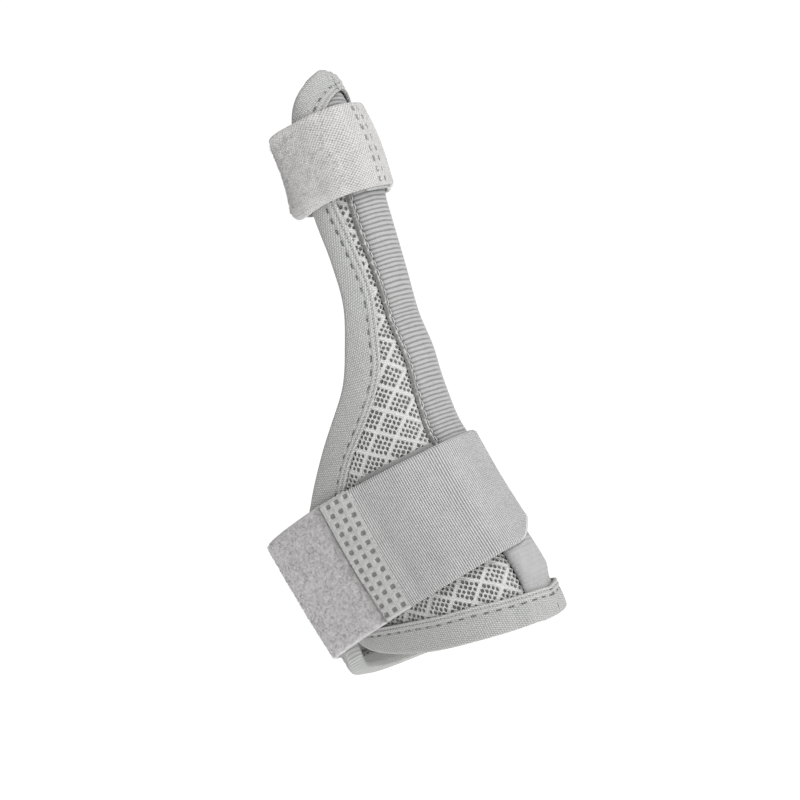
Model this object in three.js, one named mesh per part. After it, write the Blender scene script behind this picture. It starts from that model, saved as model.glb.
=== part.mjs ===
// A thumb spica splint for a left hand, in the form that it has when worn. Lengths are in millimetres.
// +Z runs along the forearm towards the hand, +X to the thumb side and +Y to the palm.
// The origin is the middle of the wrist, halfway up the wrist strap.
// Every piece is laid out as its maker cuts it, in u and z on the limb, and then lifted by a height.
import * as THREE from "three";

// The limb form that the splint wraps
const CUFF_DROP = 49.8;
const THUMB_RISE = 152.4;
const WRIST_WIDTH = 74;
const WRIST_DEPTH = 50;
const THUMB_WIDTH = 25;
const THUMB_DEPTH = 25;
const THUMB_REACH = 51;
const SQUARENESS = 2.3;

// The body: two padded mesh panels that meet under the stay
const MESH_THICK = 3.2;
const LAYER_GAP = 0.3;
const SEAM_HALF_GAP = 0.15;
const DORSAL_WING = 70;
const PALMAR_WING = 118;
const THUMB_COVER = 22;

// The binding tape folded over every edge
const BINDING_WIDE = 11;
const BINDING_THICK = 1.2;
const BINDING_FOLD = 0.96;
const BINDING_CORNER = 0.29;
const BINDING_EDGE_DROP = 0.2;
const BINDING_INSIDE = 0.78;
const FOLD_ROOM = 1.2;
const INSIDE_GAP = 0.85;

// The ribbed webbing sleeve that holds the stay, and the fold along each side of it
const SLEEVE_HALF = 9.6;
const SLEEVE_THICK = 2.5;
const SLEEVE_THUMB_THICK = 1.5;
const SLEEVE_THINS_FROM = 15;
const SLEEVE_THINS_TO = 40;
const SLEEVE_SWELLS_FROM = 104;
const SLEEVE_SWELLS_TO = 112;
const SLEEVE_CROWN = 0.3;
const SLEEVE_END_THICK = 1;
const SLEEVE_RAMP = 5;
const SLEEVE_TUCK = 6;
const SLEEVE_TUCK_ROOM = 2;
const SLEEVE_TIP_DROP = 8;
const SLEEVE_TIP_THIN = 15.6;
const SLEEVE_TIP_ROUND = 5;
const SLEEVE_TIP_EASE = 0.1;
const SLEEVE_END_ROOM = 0.18;
const EDGE_LIFT = 0.25;
const PIPING_WIDE = 1.1;
const PIPING_THICK = 1.2;
const PIPING_LOW = -9;
const PIPING_TUCK = 3;

// The straps where they climb over the sleeve
const DRAPE_START = 0.5;
const DRAPE_WIDE = 5.5;

// The wrist strap: the elastic from the palm to the sewn joint, and the velour tab from there on
const WRIST_STRAP_WIDE = 45.6;
const WRIST_STRAP_RISE = -0.2;
const ELASTIC_THICK = 1.8;
const ELASTIC_START = 17;
const WRIST_JOINT = 52;
const WRIST_JOINT_WIDE = 10.5;
const JOINT_RAMP = 4;
const JOINT_PRESS = 0.4;
const TAB_THICK = 2.2;
const TAB_FLAP_THICK = 0.9;
const TAB_FLAP_BACK = 1;
const TAB_BEND = 0.8;
const TAB_END = 22;
const TAB_ROUND = 12;
const HOOK_THICK = 1.2;
const HOOK_INSET = 3;
const HOOK_END = 41;

// The thumb strap: the short elastic on the palm side, and the tape over it
const THUMB_STRAP_WIDE = 28;
const THUMB_STRAP_RISE = 122.5;
const THUMB_STRAP_LEAN = 4;
const TAPE_THICK = 1.5;
const TAPE_START = 6;
const TAPE_SEWN = 5;
const TAPE_SEWN_CLEAR = 1;
const TAPE_LEAVES = 7;
const TAPE_RETURNS = 10;
const TAPE_RETURN_CLEAR = 2;
const TAPE_END = 10;
const TAPE_SLACK = 1.9;
const THUMB_ELASTIC_THICK = 0.9;
const THUMB_ELASTIC_EXTRA = 1;
const THUMB_ELASTIC_END = 25;
const THUMB_HOOK_THICK = 0.9;
const THUMB_HOOK_BACK = 1;
const THUMB_HOOK_CLEAR = 6;

// How finely each piece is divided
const RING_STEPS = 360;
const NORMAL_STEP = 0.8;
const CURVE_DIVISIONS = 800;
const CURVE_END = 0.0005;
const DORSAL_ROWS = 34;
const PALMAR_ROWS = 49;
const CUFF_DORSAL_STEPS = 20;
const CUFF_PALMAR_STEPS = 31;
const DORSAL_EDGE_STEPS = 32;
const PALMAR_EDGE_STEPS = 42;
const SLEEVE_ROWS = 30;
const SLEEVE_TIP_ROWS = 4;
const TAB_STEP = 4.5;
const ELASTIC_STEP = 3;
const THUMB_STEP = 3;

// Sections of the limb, from the cuff to the thumb tip.
// at: share of the length; side: centre, as a share of THUMB_REACH;
// wide and deep: share of the way from the thumb's size to the wrist's.
const LIMB = [
  { at: 0.0, side: -0.027, wide: 0.857, deep: 0.98 },
  { at: 0.1, side: -0.005, wide: 0.925, deep: 0.995 },
  { at: 0.245, side: -0.019, wide: 0.925, deep: 1.0 },
  { at: 0.365, side: -0.019, wide: 0.939, deep: 0.98 },
  { at: 0.49, side: 0.11, wide: 0.935, deep: 0.78 },
  { at: 0.57, side: 0.29, wide: 0.65, deep: 0.54 },
  { at: 0.643, side: 0.53, wide: 0.36, deep: 0.34 },
  { at: 0.786, side: 0.87, wide: 0.015, deep: 0.06 },
  { at: 0.878, side: 0.985, wide: -0.042, deep: 0.0 },
  { at: 0.96, side: 1.022, wide: -0.073, deep: -0.06 },
  { at: 1.0, side: 1.036, wide: -0.094, deep: -0.09 },
];

// The lower outline of each panel, from the cuff's middle round the wing.
// at: share of the way from the cuff to the wrist's middle, over 1 above it;
// out: share of the wing; wide: share of BINDING_WIDE.
const DORSAL_OUTLINE = [
  { at: 0.0, out: 0.0, wide: 0.92 },
  { at: 0.042, out: 0.22, wide: 0.95 },
  { at: 0.132, out: 0.466, wide: 1.0 },
  { at: 0.19, out: 0.6, wide: 1.0 },
  { at: 0.265, out: 0.732, wide: 0.98 },
  { at: 0.345, out: 0.845, wide: 0.9 },
  { at: 0.45, out: 0.945, wide: 0.75 },
  { at: 0.6, out: 0.995, wide: 0.6 },
  { at: 0.9, out: 1.0, wide: 0.55 },
  { at: 1.16, out: 0.972, wide: 0.6 },
  { at: 1.39, out: 0.886, wide: 0.8 },
];
const PALMAR_OUTLINE = [
  { at: 0.0, out: 0.0, wide: 0.92 },
  { at: 0.05, out: 0.15, wide: 0.95 },
  { at: 0.15, out: 0.38, wide: 1.0 },
  { at: 0.26, out: 0.62, wide: 0.95 },
  { at: 0.34, out: 0.82, wide: 0.8 },
  { at: 0.4, out: 0.94, wide: 0.6 },
  { at: 0.52, out: 0.99, wide: 0.5 },
  { at: 0.8, out: 1.0, wide: 0.5 },
  { at: 1.04, out: 0.975, wide: 0.5 },
  { at: 1.22, out: 0.85, wide: 0.7 },
  { at: 1.33, out: 0.68, wide: 0.85 },
  { at: 1.44, out: 0.54, wide: 0.95 },
];

// The upper outline of both panels, from above the wrist strap to the thumb strap.
// at: share of the way from the wrist's middle to the tip; out: share of THUMB_COVER.
const THUMB_OUTLINE = [
  { at: 0.169, out: 2.536, wide: 1.05 },
  { at: 0.243, out: 2.065, wide: 1.07 },
  { at: 0.353, out: 1.432, wide: 1.08 },
  { at: 0.478, out: 1.0, wide: 0.92 },
  { at: 0.6, out: 0.942, wide: 0.78 },
  { at: 0.714, out: 0.972, wide: 0.74 },
  { at: 0.83, out: 0.93, wide: 0.72 },
];

// The outlines from the thumb strap over the tip, where the binding is narrower on the palm side.
const DORSAL_TIP = [
  { at: 0.915, out: 0.745, wide: 0.76 },
  { at: 0.96, out: 0.53, wide: 0.82 },
  { at: 0.985, out: 0.29, wide: 0.86 },
  { at: 0.994, out: 0.13, wide: 0.87 },
  { at: 0.991, out: 0.0, wide: 0.84 },
];
const PALMAR_TIP = [
  { at: 0.915, out: 0.745, wide: 0.64 },
  { at: 0.957, out: 0.53, wide: 0.58 },
  { at: 0.979, out: 0.26, wide: 0.6 },
  { at: 0.991, out: 0.0, wide: 0.84 },
];

// The edges of the wrist strap's elastic, from the sewn joint to its cut end on the palm.
// at: share of WRIST_JOINT from the thumb side; top and bottom: share of half the strap's width.
const ELASTIC_EDGES = [
  { at: -1.0, top: 1.0, bottom: -1.0 },
  { at: -0.56, top: 0.92, bottom: -1.0 },
  { at: -0.21, top: 0.877, bottom: -1.0 },
  { at: -0.1, top: 0.877, bottom: -1.0 },
  { at: 0.144, top: 0.886, bottom: -0.627 },
  { at: 0.327, top: 0.886, bottom: -0.3 },
];

const BODY_TOP = MESH_THICK;
const OVER_BODY = BODY_TOP + LAYER_GAP;
const BINDING_TOP = OVER_BODY + BINDING_THICK;
const SLEEVE_END_LIFT = SLEEVE_END_THICK + LAYER_GAP + SLEEVE_END_ROOM;
const OVER_BINDING = BINDING_TOP + LAYER_GAP;
const OVER_SLEEVE = OVER_BODY + SLEEVE_THICK + LAYER_GAP;
const PIPING_START = SLEEVE_HALF + LAYER_GAP;
const PIPING_END = PIPING_START + PIPING_WIDE;

function mix(a, b, t) {
  return a + (b - a) * t;
}

function ramp(from, to, value) {
  return THREE.MathUtils.smoothstep(value, from, to);
}

// A value of a table's column between its rows, on a smooth curve that never overshoots.
function column(table, at, key) {
  const last = table.length - 1;
  const here = THREE.MathUtils.clamp(at, table[0].at, table[last].at);
  let i = 0;
  while (i < last - 1 && here > table[i + 1].at) i += 1;
  const secant = (k) => (table[k + 1][key] - table[k][key]) / (table[k + 1].at - table[k].at);
  const slope = (k) => {
    if (k === 0) return secant(0);
    if (k === last) return secant(last - 1);
    const before = secant(k - 1);
    const after = secant(k);
    return before * after <= 0 ? 0 : (2 * before * after) / (before + after);
  };
  const span = table[i + 1].at - table[i].at;
  const t = (here - table[i].at) / span;
  const rise = t * t * (3 - 2 * t);
  const start = t * (1 - t) * (1 - t) * span * slope(i);
  const end = t * t * (t - 1) * span * slope(i + 1);
  return mix(table[i][key], table[i + 1][key], rise) + start + end;
}

// The limb's section at a height, as points and the length run along them from the thumb side.
const rings = new Map();
function ring(z) {
  const key = z.toFixed(4);
  if (rings.has(key)) return rings.get(key);
  const at = (z + CUFF_DROP) / (CUFF_DROP + THUMB_RISE);
  const centre = THUMB_REACH * column(LIMB, at, "side");
  const halfWide = mix(THUMB_WIDTH, WRIST_WIDTH, column(LIMB, at, "wide")) / 2;
  const halfDeep = mix(THUMB_DEPTH, WRIST_DEPTH, column(LIMB, at, "deep")) / 2;
  const bend = (value) => Math.sign(value) * Math.abs(value) ** (2 / SQUARENESS);
  const points = [];
  let run = 0;
  for (let i = 0; i <= RING_STEPS; i += 1) {
    const angle = (2 * Math.PI * i) / RING_STEPS;
    const x = centre + halfWide * bend(Math.cos(angle));
    const y = halfDeep * bend(Math.sin(angle));
    if (i > 0) run += Math.hypot(x - points[i - 1].x, y - points[i - 1].y);
    points.push({ x, y, run });
  }
  rings.set(key, points);
  return points;
}

function girth(z) {
  return ring(z)[RING_STEPS].run;
}

// The limb's surface: u runs round it from the thumb side, over the palm where it is positive.
function skin(u, z) {
  const points = ring(z);
  const all = points[RING_STEPS].run;
  const run = ((u % all) + all) % all;
  let low = 0;
  let high = RING_STEPS;
  while (high - low > 1) {
    const middle = (low + high) >> 1;
    if (points[middle].run <= run) low = middle;
    else high = middle;
  }
  const t = (run - points[low].run) / (points[high].run - points[low].run);
  return new THREE.Vector3(mix(points[low].x, points[high].x, t), mix(points[low].y, points[high].y, t), z);
}

// A point at a height over the limb's surface.
function lifted(u, z, height) {
  const level = THREE.MathUtils.clamp(z, NORMAL_STEP - CUFF_DROP, THUMB_RISE - NORMAL_STEP);
  const across = skin(u + NORMAL_STEP, level).sub(skin(u - NORMAL_STEP, level));
  const along = skin(u, level + NORMAL_STEP).sub(skin(u, level - NORMAL_STEP));
  return skin(u, z).addScaledVector(across.cross(along).normalize(), height);
}

// How much a layer over the sleeve is raised, from 1 on the sleeve to 0 beside it.
function overSleeve(u) {
  const start = PIPING_END + DRAPE_START;
  return 1 - ramp(start, start + DRAPE_WIDE, Math.abs(u));
}

// The same for the bindings, which cross the sleeve at its two ends and only lie beside it between them.
function overSleeveEnd(u, z) {
  const atEnd = z < 0 ? 1 : ramp(SLEEVE_SWELLS_FROM, SLEEVE_SWELLS_TO, z);
  return overSleeve(u) * mix(EDGE_LIFT, 1, atEnd);
}

function closedMesh(name, points, triangles, finish) {
  const geometry = new THREE.BufferGeometry();
  const volume = triangles.reduce((sum, [a, b, c]) => {
    return sum + points[a].dot(new THREE.Vector3().crossVectors(points[b], points[c]));
  }, 0);
  const faces = volume > 0 ? triangles : triangles.map(([a, b, c]) => [a, c, b]);
  geometry.setAttribute("position", new THREE.Float32BufferAttribute(points.flatMap((p) => p.toArray()), 3));
  geometry.setIndex(faces.flat());
  geometry.computeVertexNormals();
  const mesh = new THREE.Mesh(geometry, new THREE.MeshStandardMaterial(finish));
  mesh.name = name;
  return mesh;
}

// A closed slab over a grid of places { u, z, low, high }, one list of places to each row.
function slab(name, rows, finish) {
  const wide = rows[0].length;
  const points = [];
  for (const side of ["low", "high"]) {
    for (const row of rows) {
      for (const place of row) points.push(lifted(place.u, place.z, place[side]));
    }
  }
  const upper = rows.length * wide;
  const index = (i, j) => i * wide + j;
  const triangles = [];
  for (let i = 0; i < rows.length - 1; i += 1) {
    for (let j = 0; j < wide - 1; j += 1) {
      const [a, b, c, d] = [index(i, j), index(i, j + 1), index(i + 1, j + 1), index(i + 1, j)];
      triangles.push([a, b, c], [a, c, d]);
      triangles.push([a + upper, c + upper, b + upper], [a + upper, d + upper, c + upper]);
    }
  }
  const rim = [];
  for (let j = 0; j < wide - 1; j += 1) rim.push(index(0, j));
  for (let i = 0; i < rows.length - 1; i += 1) rim.push(index(i, wide - 1));
  for (let j = wide - 1; j > 0; j -= 1) rim.push(index(rows.length - 1, j));
  for (let i = rows.length - 1; i > 0; i -= 1) rim.push(index(i, 0));
  rim.forEach((a, k) => {
    const b = rim[(k + 1) % rim.length];
    triangles.push([b, a, a + upper], [b, a + upper, b + upper]);
  });
  return closedMesh(name, points, triangles, finish);
}

// The outline of one panel as a smooth curve of out, height and binding width.
function outlineCurve(wingTable, wing, tipTable) {
  const lower = wingTable.map((row) => {
    return new THREE.Vector3(row.out * wing, mix(-CUFF_DROP, 0, row.at), row.wide * BINDING_WIDE);
  });
  const upper = [...THUMB_OUTLINE, ...tipTable].map((row) => {
    return new THREE.Vector3(row.out * THUMB_COVER, mix(0, THUMB_RISE, row.at), row.wide * BINDING_WIDE);
  });
  const curve = new THREE.CatmullRomCurve3([...lower, ...upper], false, "centripetal");
  curve.arcLengthDivisions = CURVE_DIVISIONS;
  return curve;
}

const dorsalOutline = outlineCurve(DORSAL_OUTLINE, DORSAL_WING, DORSAL_TIP);
const palmarOutline = outlineCurve(PALMAR_OUTLINE, PALMAR_WING, PALMAR_TIP);

// Stations on an outline between two shares of its length; side is -1 on the back of the hand.
function stations(curve, side, from, to, count) {
  const list = [];
  for (let i = 0; i <= count; i += 1) {
    const t = mix(from, to, i / count);
    const point = curve.getPointAt(t);
    const ahead = curve.getTangentAt(THREE.MathUtils.clamp(t, CURVE_END, 1 - CURVE_END)).setZ(0).normalize();
    const inward = new THREE.Vector2(-ahead.y * side, ahead.x);
    list.push({ u: Math.max(point.x, 0) * side, z: point.y, wide: point.z, inward });
  }
  return list;
}

// A mesh panel, row by row from the cuff to the tip, from the stay's middle to inside the binding.
function meshPanel(name, curve, side, rowCount, shares, finish) {
  const inset = BINDING_FOLD + FOLD_ROOM;
  const edge = stations(curve, side, 0, 1, rowCount + 2).slice(1, -1);
  const rows = edge.map((station) => {
    const z = station.z + station.inward.y * inset;
    const reach = Math.abs(station.u + station.inward.x * inset);
    return shares.map((share) => {
      return { u: side * mix(SEAM_HALF_GAP, reach, share), z, low: 0, high: BODY_TOP };
    });
  });
  return slab(name, rows, finish);
}

// The folded tape's section: d runs inward from the panel's edge, h up from the limb.
function bindingSection(wide) {
  const inside = wide * BINDING_INSIDE;
  const under = -INSIDE_GAP;
  return [
    { d: wide, h: OVER_BODY },
    { d: wide / 2, h: OVER_BODY },
    { d: BINDING_FOLD, h: OVER_BODY },
    { d: BINDING_FOLD, h: under },
    { d: inside / 2, h: under },
    { d: inside, h: under },
    { d: inside, h: under - BINDING_FOLD },
    { d: inside / 2, h: under - BINDING_FOLD },
    { d: BINDING_CORNER, h: under - BINDING_FOLD },
    { d: 0, h: BODY_TOP },
    { d: BINDING_FOLD, h: BINDING_TOP },
    { d: wide / 2, h: BINDING_TOP },
    { d: wide, h: BINDING_TOP - BINDING_EDGE_DROP },
  ];
}

// The two edge bindings meet over the stay, so there each keeps to its own side.
function binding(name, path, side, finish) {
  const points = [];
  const count = bindingSection(BINDING_WIDE).length;
  for (const station of path) {
    for (const corner of bindingSection(station.wide)) {
      const free = station.u + station.inward.x * corner.d;
      const u = side === 0 ? free : side * Math.max(side * free, SEAM_HALF_GAP);
      const z = station.z + station.inward.y * corner.d;
      const lift = corner.h > BODY_TOP ? SLEEVE_END_LIFT * overSleeveEnd(u, z) : 0;
      points.push(lifted(u, z, corner.h + lift));
    }
  }
  const triangles = [];
  for (let i = 0; i < path.length - 1; i += 1) {
    for (let j = 0; j < count; j += 1) {
      const next = (j + 1) % count;
      const [a, b] = [i * count + j, i * count + next];
      triangles.push([a, b, b + count], [a, b + count, a + count]);
    }
  }
  const flat = bindingSection(BINDING_WIDE).map((corner) => new THREE.Vector2(corner.d, corner.h));
  const last = (path.length - 1) * count;
  for (const [a, b, c] of THREE.ShapeUtils.triangulateShape(flat, [])) {
    triangles.push([a, b, c], [last + a, last + c, last + b]);
  }
  return closedMesh(name, points, triangles, finish);
}

// A strap laid round the limb from one place to another; a place is { at, turn }, with turn 1 a whole
// turn further round. The lay function gives the strap's lower and upper height and its bottom and
// top edge from its u, and from how far it has come round again.
function strap(middle, across, step, from, to, lay) {
  const length = Math.abs(to.at - from.at - (to.turn - from.turn) * girth(middle));
  const count = Math.max(2, Math.round(length / step));
  const rows = [];
  for (let i = 0; i <= count; i += 1) {
    const place = (z) => mix(from.at - from.turn * girth(z), to.at - to.turn * girth(z), i / count);
    const edges = lay(place(middle), place(middle) + girth(middle));
    rows.push(across.map((share) => {
      const z = mix(edges.bottom, edges.top, share);
      const u = place(z);
      const { low, high } = lay(u, u + girth(z));
      return { u, z, low, high };
    }));
  }
  return rows;
}

// Half the width of a strap near its rounded end.
function roundedHalf(half, fromEnd, radius) {
  if (fromEnd >= radius) return half;
  const short = radius - Math.max(fromEnd, 0);
  return half - radius + Math.sqrt(radius * radius - short * short);
}

const splint = new THREE.Group();

// The air mesh panels
const meshFinish = { color: 0xb4b4b2, roughness: 0.9, metalness: 0 };
const DORSAL_COLUMNS = [0, 0.05, 0.11, 0.18, 0.26, 0.35, 0.46, 0.59, 0.73, 0.87, 1];
const PALMAR_COLUMNS = [
  0, 0.03, 0.07, 0.12, 0.18, 0.25, 0.35, 0.48, 0.58, 0.65, 0.71, 0.76, 0.81, 0.86, 0.9, 0.95, 1,
];
splint.add(meshPanel("dorsal_panel", dorsalOutline, -1, DORSAL_ROWS, DORSAL_COLUMNS, meshFinish));
splint.add(meshPanel("palmar_panel", palmarOutline, 1, PALMAR_ROWS, PALMAR_COLUMNS, meshFinish));

// The bindings: one round the cuff, one up each edge to the tip
const bindingFinish = { color: 0xc0c2c0, roughness: 0.85, metalness: 0 };
const DORSAL_SPLIT = 0.335;
const PALMAR_SPLIT = 0.375;
const SPLIT_GAP = 0.0016;
const TIP_GAP = 0.0008;
const cuffDorsal = stations(dorsalOutline, -1, DORSAL_SPLIT, 0, CUFF_DORSAL_STEPS);
const cuffPalmar = stations(palmarOutline, 1, 0, PALMAR_SPLIT, CUFF_PALMAR_STEPS).slice(1);
splint.add(binding("cuff_binding", [...cuffDorsal, ...cuffPalmar], 0, bindingFinish));
const dorsalStart = DORSAL_SPLIT + SPLIT_GAP;
const dorsalEdge = stations(dorsalOutline, -1, 1 - TIP_GAP, dorsalStart, DORSAL_EDGE_STEPS);
splint.add(binding("dorsal_binding", dorsalEdge, -1, bindingFinish));
const palmarStart = PALMAR_SPLIT + SPLIT_GAP;
const palmarEdge = stations(palmarOutline, 1, palmarStart, 1 - TIP_GAP, PALMAR_EDGE_STEPS);
splint.add(binding("palmar_binding", palmarEdge, 1, bindingFinish));

// The ribbed sleeve over the stay, thin at both ends where the binding holds it down
const webbingFinish = { color: 0xb6b6b6, roughness: 0.8, metalness: 0 };
const SLEEVE_COLUMNS = [-1, -0.7, -0.35, 0, 0.35, 0.7, 1];
const sleeveLow = -CUFF_DROP + BINDING_WIDE - SLEEVE_TUCK;
const sleeveHigh = THUMB_RISE - SLEEVE_TIP_DROP;
const roundLow = sleeveHigh - SLEEVE_TIP_ROUND;
const sleeveRows = [];
for (let i = 0; i <= SLEEVE_ROWS + SLEEVE_TIP_ROWS; i += 1) {
  const onTip = Math.max(0, i - SLEEVE_ROWS) / SLEEVE_TIP_ROWS;
  const z = mix(mix(sleeveLow, roundLow, Math.min(i / SLEEVE_ROWS, 1)), sleeveHigh, onTip);
  const fromTuck = z - sleeveLow - SLEEVE_TUCK - SLEEVE_TUCK_ROOM;
  const full = ramp(0, SLEEVE_RAMP, Math.min(fromTuck, sleeveHigh - SLEEVE_TIP_THIN - z));
  const swell = ramp(SLEEVE_SWELLS_FROM, SLEEVE_SWELLS_TO, z);
  const thin = ramp(SLEEVE_THINS_FROM, SLEEVE_THINS_TO, z) * (1 - swell);
  const middle = mix(SLEEVE_THICK, SLEEVE_THUMB_THICK, thin);
  const half = roundedHalf(SLEEVE_HALF, sleeveHigh - z, SLEEVE_TIP_ROUND);
  sleeveRows.push(SLEEVE_COLUMNS.map((share) => {
    const crown = 1 - SLEEVE_CROWN * share ** 4;
    const high = OVER_BODY + mix(SLEEVE_END_THICK, middle, full) * crown;
    return { u: half * share, z, low: OVER_BODY + SLEEVE_TIP_EASE * onTip, high };
  }));
}
splint.add(slab("stay_sleeve", sleeveRows, webbingFinish));

// The fold of binding tape that edges each side of the sleeve, from strap to strap
for (const [name, side] of [["dorsal_piping", -1], ["palmar_piping", 1]]) {
  const rows = [];
  for (let i = 0; i <= SLEEVE_ROWS; i += 1) {
    const z = mix(PIPING_LOW, THUMB_STRAP_RISE - PIPING_TUCK, i / SLEEVE_ROWS);
    rows.push([PIPING_START, PIPING_END].map((u) => {
      return { u: u * side, z, low: OVER_BODY, high: OVER_BODY + PIPING_THICK };
    }));
  }
  splint.add(slab(name, rows, bindingFinish));
}

// The wrist strap's elastic: from its cut end on the palm over the thumb side to the sewn joint
const WRIST_SHARES = [0, 0.25, 0.5, 0.75, 1];
const elasticFinish = { color: 0xbebebe, roughness: 0.75, metalness: 0 };
const wristHalf = WRIST_STRAP_WIDE / 2;
const wristEdges = { bottom: WRIST_STRAP_RISE - wristHalf, top: WRIST_STRAP_RISE + wristHalf };
const jointEdge = -WRIST_JOINT + WRIST_JOINT_WIDE;
const elasticRows = strap(WRIST_STRAP_RISE, WRIST_SHARES, ELASTIC_STEP, { at: ELASTIC_START, turn: 0 },
  { at: -WRIST_JOINT, turn: 0 }, (u) => {
    const joint = 1 - ramp(jointEdge, jointEdge + JOINT_RAMP, u);
    const beside = u > 0 ? OVER_BODY : OVER_BINDING;
    const low = mix(beside, OVER_SLEEVE, overSleeve(u)) + (TAB_FLAP_THICK + LAYER_GAP) * joint;
    const bottom = WRIST_STRAP_RISE + wristHalf * column(ELASTIC_EDGES, u / WRIST_JOINT, "bottom");
    const top = WRIST_STRAP_RISE + wristHalf * column(ELASTIC_EDGES, u / WRIST_JOINT, "top");
    return { low, high: low + ELASTIC_THICK - JOINT_PRESS * joint, bottom, top };
  });
splint.add(slab("wrist_strap_elastic", elasticRows, elasticFinish));

// The velour tab: a thin flap under the joint, then round the outside of the wrist to the palm
const velourFinish = { color: 0xa5a3a3, roughness: 1, metalness: 0 };
const flapRows = strap(WRIST_STRAP_RISE, WRIST_SHARES, TAB_STEP, { at: jointEdge - TAB_FLAP_BACK, turn: 0 },
  { at: -WRIST_JOINT, turn: 0 }, () => {
    return { low: OVER_BINDING, high: OVER_BINDING + TAB_FLAP_THICK, ...wristEdges };
  });
const tabRows = strap(WRIST_STRAP_RISE, WRIST_SHARES, TAB_STEP, { at: -WRIST_JOINT - TAB_BEND, turn: 0 },
  { at: TAB_END, turn: 1 }, (u, again) => {
    const half = roundedHalf(wristHalf, again - TAB_END, TAB_ROUND);
    const bottom = WRIST_STRAP_RISE - half;
    const top = WRIST_STRAP_RISE + half;
    return { low: OVER_BINDING, high: OVER_BINDING + TAB_THICK, bottom, top };
  });
splint.add(slab("wrist_strap_tab", [...flapRows, ...tabRows], velourFinish));

// The hook patch sewn on the palm, which holds the tab's end
const hookFinish = { color: 0x8f8f8f, roughness: 0.9, metalness: 0 };
const hookRows = strap(WRIST_STRAP_RISE, WRIST_SHARES, TAB_STEP, { at: HOOK_END, turn: 0 },
  { at: TAB_END + HOOK_INSET, turn: 0 }, () => {
    const bottom = wristEdges.bottom + HOOK_INSET;
    const top = wristEdges.top - HOOK_INSET;
    return { low: OVER_BODY, high: OVER_BODY + HOOK_THICK, bottom, top };
  });
splint.add(slab("wrist_hook_patch", hookRows, hookFinish));

// The thumb strap: a short elastic on the palm side, and the tape sewn to it over the sleeve
const THUMB_SHARES = [0, 0.2, 0.4, 0.6, 0.8, 1];
const thumbGirth = girth(THUMB_STRAP_RISE);
function thumbEdges(u, wide) {
  const middle = THUMB_STRAP_RISE + (THUMB_STRAP_LEAN * (1 - Math.cos((2 * Math.PI * u) / thumbGirth))) / 2;
  return { bottom: middle - wide / 2, top: middle + wide / 2 };
}
function thumbStrap(name, from, to, lay, finish) {
  splint.add(slab(name, strap(THUMB_STRAP_RISE, THUMB_SHARES, THUMB_STEP, from, to, lay), finish));
}
thumbStrap("thumb_elastic", { at: THUMB_ELASTIC_END, turn: 0 }, { at: -TAPE_START, turn: 0 }, (u) => {
  const low = mix(OVER_BINDING, OVER_SLEEVE, overSleeve(u));
  const edges = thumbEdges(u, THUMB_STRAP_WIDE + THUMB_ELASTIC_EXTRA);
  return { low, high: low + THUMB_ELASTIC_THICK, ...edges };
}, elasticFinish);

const elasticLift = THUMB_ELASTIC_THICK + LAYER_GAP;
const thumbHookLow = OVER_BINDING + elasticLift;
const thumbHookFrom = { at: THUMB_ELASTIC_END - THUMB_HOOK_BACK, turn: 0 };
const thumbHookTo = { at: TAPE_END + THUMB_HOOK_CLEAR, turn: 0 };
thumbStrap("thumb_hook_patch", thumbHookFrom, thumbHookTo, (u) => {
  const edges = thumbEdges(u, THUMB_STRAP_WIDE - 2 * HOOK_INSET);
  return { low: thumbHookLow, high: thumbHookLow + THUMB_HOOK_THICK, ...edges };
}, hookFinish);

const tapeFinish = { color: 0xcdcdcb, roughness: 0.85, metalness: 0 };
thumbStrap("thumb_strap_tape", { at: TAPE_START, turn: 0 }, { at: TAPE_END, turn: 1 }, (u, again) => {
  const start = mix(OVER_BINDING, OVER_SLEEVE, overSleeve(u));
  const sewn = start + elasticLift * ramp(-TAPE_START - TAPE_SEWN, -TAPE_START - TAPE_SEWN_CLEAR, u);
  const free = ramp(THUMB_COVER, THUMB_COVER + TAPE_LEAVES, -u);
  const end = thumbHookLow + THUMB_HOOK_THICK + LAYER_GAP;
  const returned = THUMB_ELASTIC_END + TAPE_RETURN_CLEAR;
  const back = 1 - ramp(returned, THUMB_ELASTIC_END + TAPE_RETURNS, again);
  const low = mix(mix(sewn, TAPE_SLACK, free), end, back);
  return { low, high: low + TAPE_THICK, ...thumbEdges(u, THUMB_STRAP_WIDE) };
}, tapeFinish);

export default splint;
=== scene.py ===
import math

import bpy
import numpy as np
from mathutils import Matrix, Vector


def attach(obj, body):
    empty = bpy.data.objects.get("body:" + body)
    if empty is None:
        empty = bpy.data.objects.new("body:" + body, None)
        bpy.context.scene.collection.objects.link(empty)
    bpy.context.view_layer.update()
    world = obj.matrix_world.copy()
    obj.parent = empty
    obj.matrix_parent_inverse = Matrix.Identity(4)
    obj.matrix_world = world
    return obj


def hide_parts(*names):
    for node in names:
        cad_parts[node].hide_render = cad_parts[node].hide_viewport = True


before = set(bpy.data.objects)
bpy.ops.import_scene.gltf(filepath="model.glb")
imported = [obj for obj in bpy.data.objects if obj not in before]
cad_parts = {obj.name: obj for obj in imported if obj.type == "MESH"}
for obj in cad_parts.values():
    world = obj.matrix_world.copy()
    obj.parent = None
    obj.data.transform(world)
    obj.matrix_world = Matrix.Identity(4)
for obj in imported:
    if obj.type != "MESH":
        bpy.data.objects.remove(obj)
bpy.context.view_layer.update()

# The camera stands a little below the splint, on its back side, and well away from it, so that near
# and far parts keep their true sizes. It is turned so that the splint leans to the left.
VIEW_AZIMUTH = math.radians(26)
VIEW_ELEVATION = math.radians(-7)
VIEW_ROLL = math.radians(31)
VIEW_DISTANCE = 0.9
VIEW_WIDTH = 0.28
VIEW_RIGHT = 0.0248
VIEW_UP = 0.0426
SENSOR_WIDTH = 36

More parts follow.
